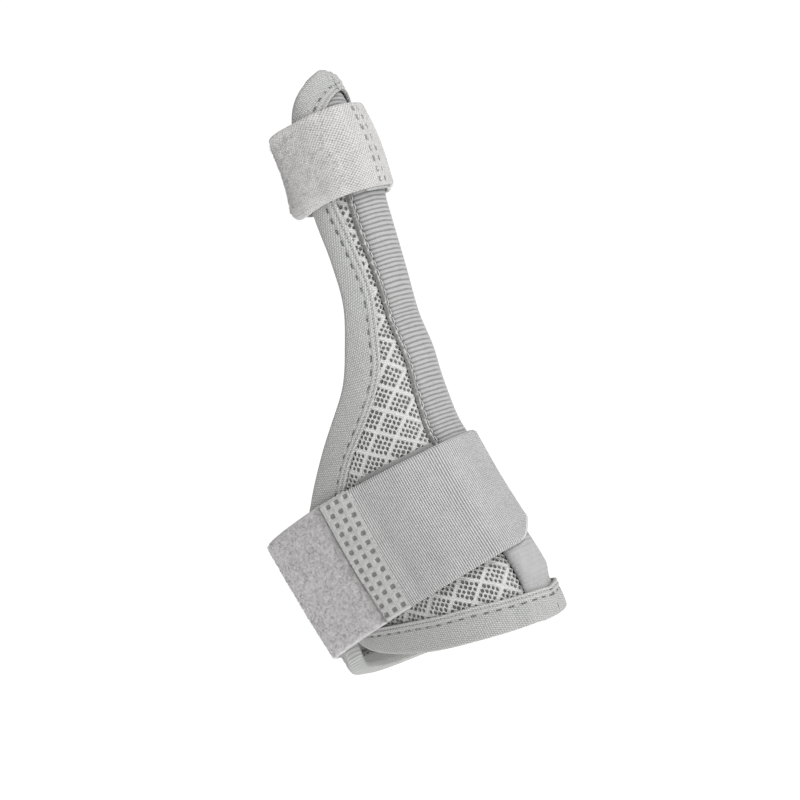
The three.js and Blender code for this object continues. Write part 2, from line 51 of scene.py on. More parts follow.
back = Vector((
    math.sin(VIEW_AZIMUTH) * math.cos(VIEW_ELEVATION),
    -math.cos(VIEW_AZIMUTH) * math.cos(VIEW_ELEVATION),
    math.sin(VIEW_ELEVATION),
))
level = Vector((math.cos(VIEW_AZIMUTH), math.sin(VIEW_AZIMUTH), 0))
upward = back.cross(level)
right = level * math.cos(VIEW_ROLL) - upward * math.sin(VIEW_ROLL)
top = level * math.sin(VIEW_ROLL) + upward * math.cos(VIEW_ROLL)
camera_data = bpy.data.cameras.new("camera")
camera_data.sensor_width = SENSOR_WIDTH
camera_data.sensor_fit = "HORIZONTAL"
camera_data.lens = SENSOR_WIDTH * VIEW_DISTANCE / VIEW_WIDTH
camera = bpy.data.objects.new("camera", camera_data)
bpy.context.scene.collection.objects.link(camera)
place = level * VIEW_RIGHT + upward * VIEW_UP + back * VIEW_DISTANCE
turned = Matrix((right, top, back)).transposed().to_4x4()
camera.matrix_world = Matrix.Translation(place) @ turned
bpy.context.scene.camera = camera

# The body is two panels of padded air mesh, one on the back side and one on the palm side. Each is a
# spacer cloth with a pale net over it, knitted in diamonds of small holes. The spacer's face is coloured a
# darker grey than its lining, as painted shade down in the net's holes. Like every piece it is cut flat,
# with u round the worn form from the thumb side and z along it, and laid over that form.
MM = 0.001
CUFF_DROP = 49.8
THUMB_RISE = 152.4
WRIST_WIDTH, WRIST_DEPTH = 74, 50
THUMB_WIDTH, THUMB_DEPTH = 25, 25
THUMB_REACH = 51
SQUARENESS = 2.3
# at: share of the length; centre: share of THUMB_REACH; wide and deep: share of the way from the
# thumb's size to the wrist's
WORN_FORM = np.array([
    (0.0, -0.027, 0.857, 0.98),
    (0.1, -0.005, 0.925, 0.995),
    (0.245, -0.019, 0.925, 1.0),
    (0.365, -0.01, 0.939, 0.98),
    (0.43, 0.038, 0.945, 0.885),
    (0.49, 0.11, 0.93, 0.78),
    (0.57, 0.306, 0.65, 0.54),
    (0.643, 0.535, 0.36, 0.34),
    (0.786, 0.87, 0.015, 0.06),
    (0.878, 0.985, -0.042, 0.0),
    (0.96, 1.022, -0.073, -0.06),
    (1.0, 1.036, -0.094, -0.09),
])


def smooth(low, high, value):
    share = np.clip((value - low) / (high - low), 0, 1)
    return share * share * (3 - 2 * share)


def mixed(first, second, share):
    return first + (second - first) * share


def column(table, at, key):
    """A column's value between the rows of a table, on a smooth curve that never overshoots."""
    xs, ys = table[:, 0], table[:, key]
    secants = np.diff(ys) / np.diff(xs)
    before, after = secants[:-1], secants[1:]
    level_off = before * after <= 0
    total = np.where(level_off, 1, before + after)
    slopes = np.where(level_off, 0, 2 * before * after / total)
    slopes = np.concatenate([[secants[0]], slopes, [secants[-1]]])
    at = np.clip(at, xs[0], xs[-1])
    i = np.clip(np.searchsorted(xs, at) - 1, 0, len(xs) - 2)
    span = xs[i + 1] - xs[i]
    t = (at - xs[i]) / span
    start = t * (1 - t) ** 2 * span * slopes[i]
    end = t * t * (t - 1) * span * slopes[i + 1]
    return mixed(ys[i], ys[i + 1], t * t * (3 - 2 * t)) + start + end


FORM_MARGIN = 4
LEVELS = np.arange(-CUFF_DROP - FORM_MARGIN, THUMB_RISE + FORM_MARGIN, 1.0)
RING_STEPS = 720
NORMAL_REACH = 6


def run_along(u, z):
    """The length run along a flat path at each of its points."""
    return np.concatenate([[0], np.cumsum(np.hypot(np.diff(u), np.diff(z)))])


def form_rings():
    """The worn form as rings, each with points at even steps round it, and each ring's girth."""
    at = (LEVELS + CUFF_DROP) / (CUFF_DROP + THUMB_RISE)
    centres = THUMB_REACH * column(WORN_FORM, at, 1)
    half_wide = mixed(THUMB_WIDTH, WRIST_WIDTH, column(WORN_FORM, at, 2)) / 2
    half_deep = mixed(THUMB_DEPTH, WRIST_DEPTH, column(WORN_FORM, at, 3)) / 2
    angles = np.linspace(0, 2 * math.pi, 2 * RING_STEPS + 1)
    bend = 2 / SQUARENESS
    ring_x = np.sign(np.cos(angles)) * np.abs(np.cos(angles)) ** bend
    ring_y = np.sign(np.sin(angles)) * np.abs(np.sin(angles)) ** bend
    points = np.zeros((len(LEVELS), RING_STEPS, 3))
    girths = np.zeros(len(LEVELS))
    for k, z in enumerate(LEVELS):
        x = centres[k] + half_wide[k] * ring_x
        y = half_deep[k] * ring_y
        run = run_along(x, y)
        girths[k] = run[-1]
        even = np.arange(RING_STEPS) / RING_STEPS * run[-1]
        points[k, :, 0] = np.interp(even, run, x)
        points[k, :, 1] = np.interp(even, run, y)
        points[k, :, 2] = z
    return points, girths


ring_points, ring_girths = form_rings()
round_it = np.roll(ring_points, -NORMAL_REACH, axis=1) - np.roll(ring_points, NORMAL_REACH, axis=1)
along_it = np.gradient(ring_points, axis=0)
ring_normals = np.cross(round_it, along_it)
ring_normals /= np.linalg.norm(ring_normals, axis=2, keepdims=True)


def girth(z):
    return np.interp(z, LEVELS, ring_girths)


def on_form(u, z, height):
    """Points at a height over the worn form."""
    u, z, height = np.broadcast_arrays(u, z, height)
    share = np.mod(u / girth(z), 1) * RING_STEPS
    row = np.clip((z - LEVELS[0]) / (LEVELS[1] - LEVELS[0]), 0, len(LEVELS) - 1.001)
    i = row.astype(int)
    j = share.astype(int) % RING_STEPS
    next_j = (j + 1) % RING_STEPS
    a = (row - i)[..., None]
    b = (share - np.floor(share))[..., None]

    def sample(table):
        low = mixed(table[i, j], table[i, next_j], b)
        high = mixed(table[i + 1, j], table[i + 1, next_j], b)
        return mixed(low, high, a)

    normal = sample(ring_normals)
    normal /= np.linalg.norm(normal, axis=-1, keepdims=True)
    return sample(ring_points) + normal * height[..., None]


def sewn(name, points, faces, lay, materials, slots=None):
    """A smooth mesh object from points in millimetres, faces of one corner count, and flat coordinates."""
    mesh = bpy.data.meshes.new(name)
    faces = np.asarray(faces, dtype=np.int32)
    corners = faces.shape[1]
    mesh.vertices.add(len(points))
    mesh.vertices.foreach_set("co", (np.asarray(points) * MM).astype(np.float32).ravel())
    mesh.loops.add(faces.size)
    mesh.loops.foreach_set("vertex_index", faces.ravel())
    mesh.polygons.add(len(faces))
    mesh.polygons.foreach_set("loop_start", np.arange(0, faces.size, corners, dtype=np.int32))
    mesh.polygons.foreach_set("use_smooth", np.ones(len(faces), dtype=bool))
    if slots is not None:
        mesh.polygons.foreach_set("material_index", np.asarray(slots, dtype=np.int32))
    layer = mesh.uv_layers.new(name="lay")
    layer.data.foreach_set("uv", np.asarray(lay)[faces.ravel()].astype(np.float32).ravel())
    for material in materials:
        mesh.materials.append(material)
    mesh.update()
    mesh.validate()
    piece = bpy.data.objects.new(name, mesh)
    bpy.context.scene.collection.objects.link(piece)
    return piece


def grid_faces(rows, columns):
    """Square faces over a grid of points, facing up where u runs along the columns and z up the rows."""
    i, j = np.meshgrid(np.arange(rows - 1), np.arange(columns - 1), indexing="ij")
    a = (i * columns + j).ravel()
    return np.stack([a, a + 1, a + columns + 1, a + columns], axis=1)


def rim_of(rows, columns):
    """The points round a grid's edge, in order."""
    lower = np.arange(columns - 1)
    far = np.arange(rows - 1) * columns + columns - 1
    upper = (rows - 1) * columns + np.arange(columns - 1, 0, -1)
    near = np.arange(rows - 1, 0, -1) * columns
    return np.concatenate([lower, far, upper, near])


def layer(u, z, low, high, rim_steps=1, bulge=0.0):
    """A closed layer of cloth over a grid of u and z, as points, faces, flat coordinates and which side
    each face is on: 0 for the face, 1 for the back and 2 for the edge."""
    rows, columns = u.shape
    top_points = on_form(u, z, high).reshape(-1, 3)
    low_points = on_form(u, z, low).reshape(-1, 3)
    flip = u[0, -1] < u[0, 0]
    up = grid_faces(rows, columns)
    if flip:
        up = up[:, ::-1]
    count = rows * columns
    down = up[:, ::-1] + count
    rim = rim_of(rows, columns)
    flat = np.stack([u.ravel(), z.ravel()], axis=1)
    points, lays = [top_points, low_points], [flat, flat]
    rings = [rim]
    centre_u = np.roll(u.ravel()[rim], -1) - np.roll(u.ravel()[rim], 1)
    centre_z = np.roll(z.ravel()[rim], -1) - np.roll(z.ravel()[rim], 1)
    length = np.hypot(centre_u, centre_z) + 1e-9
    out_u, out_z = centre_z / length, -centre_u / length
    if flip:
        out_u, out_z = -out_u, -out_z
    high_all, low_all = np.broadcast_arrays(high, low, u)[:2]
    for k in range(1, rim_steps):
        share = k / rim_steps
        swell = bulge * math.sin(math.pi * share)
        ru = u.ravel()[rim] + out_u * swell
        rz = z.ravel()[rim] + out_z * swell
        height = mixed(high_all.ravel()[rim], low_all.ravel()[rim], share)
        rings.append(sum(len(p) for p in points) + np.arange(len(rim)))
        points.append(on_form(ru, rz, height))
        lays.append(np.stack([ru, rz], axis=1))
    rings.append(rim + count)
    edge = []
    for upper, lower in zip(rings[:-1], rings[1:]):
        strip = np.stack([upper, lower, np.roll(lower, -1), np.roll(upper, -1)], axis=1)
        edge.append(strip[:, ::-1] if flip else strip)
    edge = np.concatenate(edge)
    faces = np.concatenate([up, down, edge])
    sides = np.concatenate([np.zeros(len(up)), np.ones(len(down)), np.full(len(edge), 2)])
    return np.concatenate(points), faces, np.concatenate(lays), sides


class Dye:
    """A socket in a material's node tree, so that shader maths reads as Python."""

    def __init__(self, tree, socket=None):
        self.tree = tree
        self.socket = socket

    def node(self, kind, settings, inputs, output=0):
        made = self.tree.nodes.new(kind)
        for name, value in settings.items():
            setattr(made, name, value)
        for name, value in inputs.items():
            if isinstance(value, Dye):
                self.tree.links.new(value.socket, made.inputs[name])
            else:
                made.inputs[name].default_value = value
        return Dye(self.tree, made.outputs[output])

    def math(self, operation, *values):
        return self.node("ShaderNodeMath", {"operation": operation}, dict(enumerate(values)))

    def __add__(self, other):
        return self.math("ADD", self, other)

    def __radd__(self, other):
        return self.math("ADD", other, self)

    def __sub__(self, other):
        return self.math("SUBTRACT", self, other)

    def __rsub__(self, other):
        return self.math("SUBTRACT", other, self)

    def __mul__(self, other):
        return self.math("MULTIPLY", self, other)

    def __rmul__(self, other):
        return self.math("MULTIPLY", other, self)

    def __truediv__(self, other):
        return self.math("DIVIDE", self, other)

    def __rtruediv__(self, other):
        return self.math("DIVIDE", other, self)

    def __mod__(self, other):
        return self.math("FLOORED_MODULO", self, other)

    def __rmod__(self, other):
        return self.math("FLOORED_MODULO", other, self)

    def wave(self, pitch):
        """A sine from 0 to 1 that repeats after each pitch."""
        return self.math("SINE", self * (2 * math.pi / pitch)) * 0.5 + 0.5

    def size(self):
        return self.math("ABSOLUTE", self)

    def fit(self, low, high):
        """0 under low and 1 over high, with a soft step between; high may be under low."""
        ranged = {"Value": self, "From Min": low, "From Max": high}
        return self.node("ShaderNodeMapRange", {"interpolation_type": "SMOOTHSTEP"}, ranged)

    def line(self, pitch, half, soft):
        """1 on a line of the given half width at each pitch, and 0 between the lines."""
        off = ((self / pitch + 0.5) % 1.0 - 0.5).size() * pitch
        return off.fit(half + soft, half)

    def between(self, first, second):
        inputs = {"Factor": self, 6: first, 7: second}
        return self.node("ShaderNodeMix", {"data_type": "RGBA"}, inputs, output=2)


def grey(red, green, blue):
    """A colour given in screen values from 0 to 255."""
    def linear(value):
        share = value / 255
        return share / 12.92 if share <= 0.04045 else ((share + 0.055) / 1.055) ** 2.4
    return (linear(red), linear(green), linear(blue), 1)


def cloth(name):
    """A new material, its dye, and the cloth's own u and v in millimetres."""
    made = bpy.data.materials.new(name)
    made.use_nodes = True
    dye = Dye(made.node_tree)
    flat = dye.node("ShaderNodeUVMap", {"uv_map": "lay"}, {})
    u = dye.node("ShaderNodeSeparateXYZ", {}, {0: flat}, output=0)
    v = dye.node("ShaderNodeSeparateXYZ", {}, {0: flat}, output=1)
    return made, dye, u, v


def solid_noise(dye, scale, detail, roughness=0.6):
    """Cloudy noise fixed to the object, with scale in lumps to a millimetre."""
    where = dye.node("ShaderNodeTexCoord", {}, {}, output=3)
    inputs = {"Vector": where, "Scale": scale / MM, "Detail": detail, "Roughness": roughness}
    return dye.node("ShaderNodeTexNoise", {}, inputs)


def flat_noise(dye, u, v, scale_u, scale_v, detail=3):
    """Noise laid in the cloth, with its own scale each way in lumps to a millimetre."""
    place = dye.node("ShaderNodeCombineXYZ", {}, {0: u * scale_u, 1: v * scale_v})
    inputs = {"Vector": place, "Scale": 1.0, "Detail": detail, "Roughness": 0.6}
    return dye.node("ShaderNodeTexNoise", {}, inputs)


def dress(made, dye, colour, relief, depth, rough=0.9):
    """Feeds the material's shader with a colour, and a relief whose depth is in millimetres."""
    shader = made.node_tree.nodes["Principled BSDF"]
    made.node_tree.links.new(colour.socket, shader.inputs["Base Color"])
    shader.inputs["Roughness"].default_value = rough
    shader.inputs["Specular IOR Level"].default_value = 0.2
    bump = dye.node("ShaderNodeBump", {}, {"Strength": 1.0, "Distance": depth * MM, "Height": relief})
    made.node_tree.links.new(bump.socket, shader.inputs["Normal"])


MESH_THICK = 3.2
NET_THICK = 1.0
LAYER_GAP = 0.3
SEAM_HALF_GAP = 0.15
DORSAL_WING = 70
PALMAR_WING = 118
THUMB_COVER = 22
BINDING_WIDE = 11
BINDING_THICK = 1.2
BINDING_FOLD = BINDING_THICK * 0.8
FOLD_ROOM = 1.2
# at: share of CUFF_DROP or THUMB_RISE; out: share of the panel's wing or of THUMB_COVER;
# wide: share of BINDING_WIDE
DORSAL_OUTLINE = [
    (0.0, 0.0, 0.92),
    (0.042, 0.22, 0.95),
    (0.132, 0.466, 1.0),
    (0.19, 0.6, 1.0),
    (0.265, 0.732, 0.98),
    (0.345, 0.845, 0.9),
    (0.45, 0.945, 0.75),
    (0.6, 0.995, 0.6),
    (0.9, 1.0, 0.55),
    (1.16, 0.972, 0.6),
    (1.39, 0.886, 0.8),
]
PALMAR_OUTLINE = [
    (0.0, 0.0, 0.92),
    (0.05, 0.15, 0.95),
    (0.15, 0.38, 1.0),
    (0.26, 0.62, 0.95),
    (0.34, 0.82, 0.8),
    (0.4, 0.94, 0.6),
    (0.52, 0.99, 0.5),
    (0.8, 1.0, 0.5),
    (1.04, 0.975, 0.5),
    (1.22, 0.85, 0.7),
    (1.33, 0.68, 0.85),
    (1.44, 0.54, 0.95),
]
THUMB_OUTLINE = [
    (0.169, 2.536, 1.05),
    (0.243, 2.065, 1.07),
    (0.353, 1.37, 1.08),
    (0.478, 1.0, 0.88),
    (0.6, 0.942, 0.72),
    (0.714, 0.972, 0.68),
    (0.83, 0.93, 0.68),
]
DORSAL_TIP = [
    (0.915, 0.745, 0.76),
    (0.96, 0.53, 0.82),
    (0.985, 0.29, 0.86),
    (0.994, 0.13, 0.87),
    (0.991, 0.0, 0.84),
]
PALMAR_TIP = [
    (0.915, 0.745, 0.64),
    (0.957, 0.53, 0.58),
    (0.979, 0.26, 0.6),
    (0.991, 0.0, 0.84),
]


def outline(wing_table, wing, tip_table):
    """One panel's outline as a dense curve: run share, out, z and binding width in its columns."""
    lower = [(out * wing, -CUFF_DROP * (1 - at), wide * BINDING_WIDE) for at, out, wide in wing_table]
    upper_table = THUMB_OUTLINE + tip_table
    upper = [(out * THUMB_COVER, THUMB_RISE * at, wide * BINDING_WIDE) for at, out, wide in upper_table]
    knots = np.array(lower + upper)
    knots = np.vstack([2 * knots[0] - knots[1], knots, 2 * knots[-1] - knots[-2]])
    steps = np.sum(np.diff(knots, axis=0) ** 2, axis=1) ** 0.25
    t = np.linspace(0, 1, 60, endpoint=False)[:, None]
    spans = []
    for k in range(1, len(knots) - 2):
        p0, p1, p2, p3 = knots[k - 1:k + 3]
        d0, d1, d2 = steps[k - 1:k + 2]
        out_slope = ((p1 - p0) / d0 - (p2 - p0) / (d0 + d1) + (p2 - p1) / d1) * d1
        in_slope = ((p2 - p1) / d1 - (p3 - p1) / (d1 + d2) + (p3 - p2) / d2) * d1
        square = -3 * p1 + 3 * p2 - 2 * out_slope - in_slope
        cube = 2 * p1 - 2 * p2 + out_slope + in_slope
        spans.append(p1 + out_slope * t + square * t ** 2 + cube * t ** 3)
    curve = np.vstack(spans + [knots[-2:-1]])
    run = np.concatenate([[0], np.cumsum(np.linalg.norm(np.diff(curve, axis=0), axis=1))])
    return np.column_stack([run / run[-1], curve])


outlines = {
    -1: outline(DORSAL_OUTLINE, DORSAL_WING, DORSAL_TIP),
    1: outline(PALMAR_OUTLINE, PALMAR_WING, PALMAR_TIP),
}


def stations(side, shares):
    """Places on an outline: u, z, binding width, and the flat direction inward as two columns."""
    curve = outlines[side]
    u = np.maximum(np.interp(shares, curve[:, 0], curve[:, 1]), 0) * side
    z = np.interp(shares, curve[:, 0], curve[:, 2])
    wide = np.interp(shares, curve[:, 0], curve[:, 3])
    step = 0.004
    ahead = np.clip(shares + step, 0, 1)
    behind = np.clip(shares - step, 0, 1)
    du = np.interp(ahead, curve[:, 0], curve[:, 1]) - np.interp(behind, curve[:, 0], curve[:, 1])
    dz = np.interp(ahead, curve[:, 0], curve[:, 2]) - np.interp(behind, curve[:, 0], curve[:, 2])
    length = np.hypot(du, dz)
    return u, z, wide, -dz / length * side, du / length


net, dye, u_mm, v_mm = cloth("air_mesh_net")
yarn = (v_mm + u_mm * 0.45).wave(0.62)
cloud = solid_noise(dye, 0.9, 3)
speckle = solid_noise(dye, 3.2, 2)
tone = yarn * 0.2 + cloud * 0.35 + speckle * 0.45
dress(net, dye, tone.between(grey(150, 150, 149), grey(230, 230, 228)), yarn + speckle, 0.1)

# Painted shade: the spacer's face, seen down the net's holes, is coloured darker than the same cloth's
# lining.
spacer, dye, u_mm, v_mm = cloth("air_mesh_spacer")
cloud = solid_noise(dye, 2.2, 3)
dress(spacer, dye, cloud.between(grey(104, 104, 104), grey(166, 166, 165)), cloud, 0.25, rough=1.0)

lining, dye, u_mm, v_mm = cloth("air_mesh_lining")
wale = u_mm.wave(1.1)
course = (v_mm + wale * 0.16).wave(1.3)
loops = wale * course
cloud = solid_noise(dye, 0.25, 4)
tone = loops * 0.45 + cloud * 0.5
dress(lining, dye, tone.between(grey(150, 150, 149), grey(196, 196, 195)), loops, 0.15)

# The net's cells in its own lattice: one solid band of cells, then four rows of open ones
CELL_ACROSS, CELL_ALONG = 1.02, 0.95
BAND_CELL, HOLE_CELL = 0.68, 1.08
BAND_EVERY = 5
HOLE_ACROSS, HOLE_ALONG = 0.5, 0.69
HOLE_SQUARENESS = 1.75
NET_FROM = 9.3
NET_EDGE = 3.2
# Heights behind the straps, where no net is needed
STRAP_COVERS = [(-16.5, 15.0), (115.0, 131.0)]
PANEL_ROWS = {-1: 110, 1: 130}
PANEL_COLUMNS = {-1: 26, 1: 34}


def lattice(k):
    """The place of a lattice line, where the cell after every fifth line is the narrow band."""
    return np.floor(k / BAND_EVERY) * BAND_EVERY + np.where(
        k % BAND_EVERY == 0, 0, BAND_CELL + (k % BAND_EVERY - 1) * HOLE_CELL)


def net_cells(side):
    """The lattice lines of the net's cells where the panel shows, and whether each is a band."""
    curve = outlines[side]
    across = int(curve[:, 1].max() / CELL_ACROSS) + 200
    i, j = np.meshgrid(np.arange(-across, across), np.arange(-across, across), indexing="ij")
    i, j = i.ravel(), j.ravel()
    p, q = lattice(i) + 0.5, lattice(j) + 0.5
    out, z = (p - q) * CELL_ACROSS, (p + q) * CELL_ALONG
    inside = (out > NET_FROM) & (out < np.interp(z, curve[:, 2], curve[:, 1]))
    for low, high in STRAP_COVERS:
        inside &= (z < low) | (z > high)
    out, z, i, j = out[inside], z[inside], i[inside], j[inside]
    thin = curve[::4]
    away = np.hypot(out[:, None] - thin[:, 1], z[:, None] - thin[:, 2])
    kept = away.min(axis=1) > thin[away.argmin(axis=1), 3] - NET_EDGE
    return i[kept], j[kept], ((i % BAND_EVERY == 0) | (j % BAND_EVERY == 0))[kept]


def net_layer(side):
    """The net's points, faces and flat coordinates: each cell is a diamond with a rounded hole."""
    i, j, band = net_cells(side)
    count = 12
    turn = np.arange(count) / count * 2 * math.pi
    power = 2 / HOLE_SQUARENESS
    hole_u = np.sign(np.cos(turn)) * np.abs(np.cos(turn)) ** power * HOLE_ACROSS
    hole_z = np.sign(np.sin(turn)) * np.abs(np.sin(turn)) ** power * HOLE_ALONG
    edge_p = np.array([3, 3, 3, 3, 2, 1, 0, 0, 0, 0, 1, 2]) / 3
    edge_q = np.array([0, 1, 2, 3, 3, 3, 3, 2, 1, 0, 0, 0]) / 3
    rng = np.random.default_rng(11)
    wide_u = hole_u * rng.uniform(0.8, 1.15, (len(i), 1))
    long_z = hole_z * rng.uniform(0.82, 1.12, (len(i), 1))
    hole_p = 0.5 + (long_z + wide_u) / 2 + rng.normal(0, 0.03, (len(i), 1))
    hole_q = 0.5 + (long_z - wide_u) / 2 + rng.normal(0, 0.03, (len(i), 1))
    shut = np.where(band, 0.3, 1)[:, None]
    hole_p, hole_q = 0.5 + (hole_p - 0.5) * shut, 0.5 + (hole_q - 0.5) * shut
    high, dip = MESH_THICK, MESH_THICK - NET_THICK
    rings = [
        (0.0, high - 0.1, 0.0),
        (0.45, high, 0.02),
        (1.0, high - 0.22, 0.04),
        (1.04, dip - 0.05, 0.05),
    ]
    p0, p1 = lattice(i)[:, None], lattice(i + 1)[:, None]
    q0, q1 = lattice(j)[:, None], lattice(j + 1)[:, None]
    points, lays = [], []
    for inward, height, band_dip in rings:
        p = mixed(p0, p1, mixed(edge_p, hole_p, inward))
        q = mixed(q0, q1, mixed(edge_q, hole_q, inward))
        cell_u, cell_z = (p - q) * CELL_ACROSS * side, (p + q) * CELL_ALONG
        level_at = np.where(band[:, None], high - band_dip, height) + 0 * p
        points.append(on_form(cell_u, cell_z, level_at))
        lays.append(np.stack([cell_u, cell_z], axis=-1))
    points, lays = np.stack(points, axis=1), np.stack(lays, axis=1)
    base = np.arange(len(i))[:, None] * count * len(rings)
    faces = []
    for k in range(len(rings) - 1):
        a = base + k * count + np.arange(count)
        b = base + k * count + (np.arange(count) + 1) % count
        faces.append(np.stack([a, b, b + count, a + count], axis=-1).reshape(-1, 4))
    ring = base[band] + (len(rings) - 1) * count
    for k in range(1, count // 2 - 1):
        lid = [ring + k, ring + (k + 1), ring + (count - k - 1), ring + (count - k)]
        faces.append(np.concatenate(lid, axis=1))
    faces = np.concatenate(faces)
    return points.reshape(-1, 3), faces if side > 0 else faces[:, ::-1], lays.reshape(-1, 2)


for side, node in ((-1, "dorsal_panel"), (1, "palmar_panel")):
    shares = np.linspace(0, 1, PANEL_ROWS[side] + 2)[1:-1]
    edge_u, edge_z, _, in_u, in_z = stations(side, shares)
    inset = BINDING_FOLD + FOLD_ROOM
    reach = np.abs(edge_u + in_u * inset)
    across, z = np.meshgrid(np.linspace(0, 1, PANEL_COLUMNS[side]), edge_z + in_z * inset)
    u = side * mixed(SEAM_HALF_GAP, reach[:, None], across)
    points, faces, lay, sides = layer(u, z, 0.0, MESH_THICK - NET_THICK)
    slots = np.where(sides == 0, 1, 2)
    net_points, net_faces, net_lay = net_layer(side)
    faces = np.concatenate([faces, net_faces + len(points)])
    slots = np.concatenate([slots, np.zeros(len(net_faces))])
    panel = sewn(node + "_mesh", np.vstack([points, net_points]), faces, np.vstack([lay, net_lay]),
                 [net, spacer, lining], slots)
    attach(panel, "root")
    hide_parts(node)

# Knit tape is folded over every edge and sewn through with a row of long stitches. Its inner edge
# stands up as a double lip beside the net, and it steps over the ends of the stay's sleeve.
OVER_BODY = MESH_THICK + LAYER_GAP
BINDING_TOP = OVER_BODY + BINDING_THICK
BINDING_INSIDE = 0.78
INSIDE_GAP = 0.85
SLEEVE_END_THICK = 1.0
SLEEVE_HALF = 9.6
PIPING_START = SLEEVE_HALF + LAYER_GAP
PIPING_WIDE = 1.1
PIPING_END = PIPING_START + PIPING_WIDE
STEP_FROM, STEP_TO, STEP_ROOM = 0.5, 6, 0.18
SLEEVE_END_LIFT = SLEEVE_END_THICK + LAYER_GAP + STEP_ROOM
EDGE_LIFT = 0.25
SLEEVE_SWELLS_FROM, SLEEVE_SWELLS_TO = 104, 112
LIP_WIDE = 2.9
OUTER_BEND = 1.25
STITCH_PITCH, STITCH_LENGTH, STITCH_RADIUS = 4.0, 2.4, 0.12
DORSAL_SPLIT, PALMAR_SPLIT = 0.335, 0.375
SPLIT_GAP = 0.0016
GATHER_PITCH, GATHER_RISE = 2.7, 0.3
GATHER_FROM, GATHER_FULL = 146, 150
# d and height of the lip from the line of stitches inward to the tape's inner edge
LIP = np.array([
    (-0.55, 0.02), (-0.3, -0.14), (0.0, -0.24), (0.28, -0.14), (0.5, 0.02), (0.75, 0.1), (1.0, 0.13),
    (1.25, 0.1), (1.5, 0.0), (1.7, -0.07), (1.95, 0.0), (2.2, 0.11), (2.45, 0.13), (2.65, 0.05),
    (2.82, -0.15), (2.9, -0.6),
])


def over_sleeve(u):
    return 1 - smooth(PIPING_END + STEP_FROM, PIPING_END + STEP_TO, np.abs(u))


def over_sleeve_end(u, z):
    at_end = np.where(z < 0, 1, smooth(SLEEVE_SWELLS_FROM, SLEEVE_SWELLS_TO, z))
    return over_sleeve(u) * mixed(EDGE_LIFT, 1, at_end)


knit, dye, u_mm, v_mm = cloth("knit_binding")
lean_one = (u_mm + v_mm * 0.34).wave(0.74)
lean_two = (v_mm + u_mm * 0.3).wave(0.66)
loops = lean_one * lean_two
speckle = flat_noise(dye, u_mm, v_mm, 1.9, 1.9)
cloud = solid_noise(dye, 0.3, 3)
tone = loops * 0.62 + speckle * 0.78 + cloud * 0.15 - 0.05
# Painted highlight: the tape is lighter along the two crests of its lip.
painted_lip_highlight = (v_mm - 1.0).size().fit(0.6, 0.1) * 0.1 + (v_mm - 2.4).size().fit(0.45, 0.1) * 0.16
# Painted shade: dark marks in the needle holes, one at each stitch.
needle_hole_shade = (u_mm + 1.2).line(STITCH_PITCH, 0.7, 0.5) * v_mm.size().fit(0.42, 0.14)
small_holes = u_mm.line(1.33, 0.24, 0.2) * (v_mm - 1.68).size().fit(0.32, 0.12)
tone = tone + painted_lip_highlight - needle_hole_shade * 0.55 - small_holes * 0.24
dress(knit, dye, tone.between(grey(85, 86, 85), grey(200, 201, 198)), loops + speckle, 0.14)

sewing, dye, u_mm, v_mm = cloth("sewing_thread")
twist = (u_mm * 1.4 + v_mm * 2.0).wave(0.63)
dress(sewing, dye, twist.between(grey(186, 187, 185), grey(226, 226, 224)), twist, 0.05, rough=0.6)


def tape_section(wide):
    """The folded tape's section at each station: d inward from the edge, height, and d from the stitches."""
    wide = np.asarray(wide)[:, None]
    inside = wide * BINDING_INSIDE
    under = -INSIDE_GAP
    back = under - BINDING_FOLD
    stitch = wide - LIP_WIDE
    crown = np.linspace(0.06, 0.97, 10)[None, :]
    bend = np.linspace(0, math.pi / 2, 7)[None, :]
    parts = [
        (wide, OVER_BODY), (wide * 0.66, OVER_BODY), (wide * 0.33, OVER_BODY), (BINDING_FOLD, OVER_BODY),
        (BINDING_FOLD, under), (inside * 0.5, under), (inside, under), (inside, back),
        (inside * 0.66, back), (inside * 0.33, back), (BINDING_FOLD * 0.5, back + 0.25), (0.12, under + 0.2),
        (0.0, BINDING_TOP * 0.35), (0.0, BINDING_TOP - 1.6),
        (OUTER_BEND * (1 - np.cos(bend)), BINDING_TOP - OUTER_BEND * (1 - np.sin(bend))),
        (mixed(OUTER_BEND, stitch + LIP[0, 0], crown), BINDING_TOP + 0.14 * np.sin(math.pi * crown)),
        (stitch + LIP[None, :, 0], BINDING_TOP + LIP[None, :, 1]),
    ]
    places = [np.broadcast_arrays(d_part, h_part, wide)[:2] for d_part, h_part in parts]
    d = np.concatenate([place[0] for place in places], axis=1)
    h = np.concatenate([place[1] for place in places], axis=1)
    return d, h, d - stitch


def tube_faces(rings, sides):
    """Square faces between the rings of points along a tube."""
    i, j = np.meshgrid(np.arange(rings - 1), np.arange(sides), indexing="ij")
    a, b = (i * sides + j).ravel(), (i * sides + (j + 1) % sides).ravel()
    return np.stack([a, a + sides, b + sides, b], axis=1)


def rings_round(along, sides):
    """Unit rings of points square to each direction of a thread, and the points' angles."""
    along = along / np.linalg.norm(along, axis=1, keepdims=True)
    across = np.cross(along, [0.31, 0.2, 0.93])
    across /= np.linalg.norm(across, axis=1, keepdims=True)
    other = np.cross(along, across)
    turn = np.arange(sides) / sides * 2 * math.pi
    return across[:, None] * np.cos(turn)[:, None] + other[:, None] * np.sin(turn)[:, None], turn


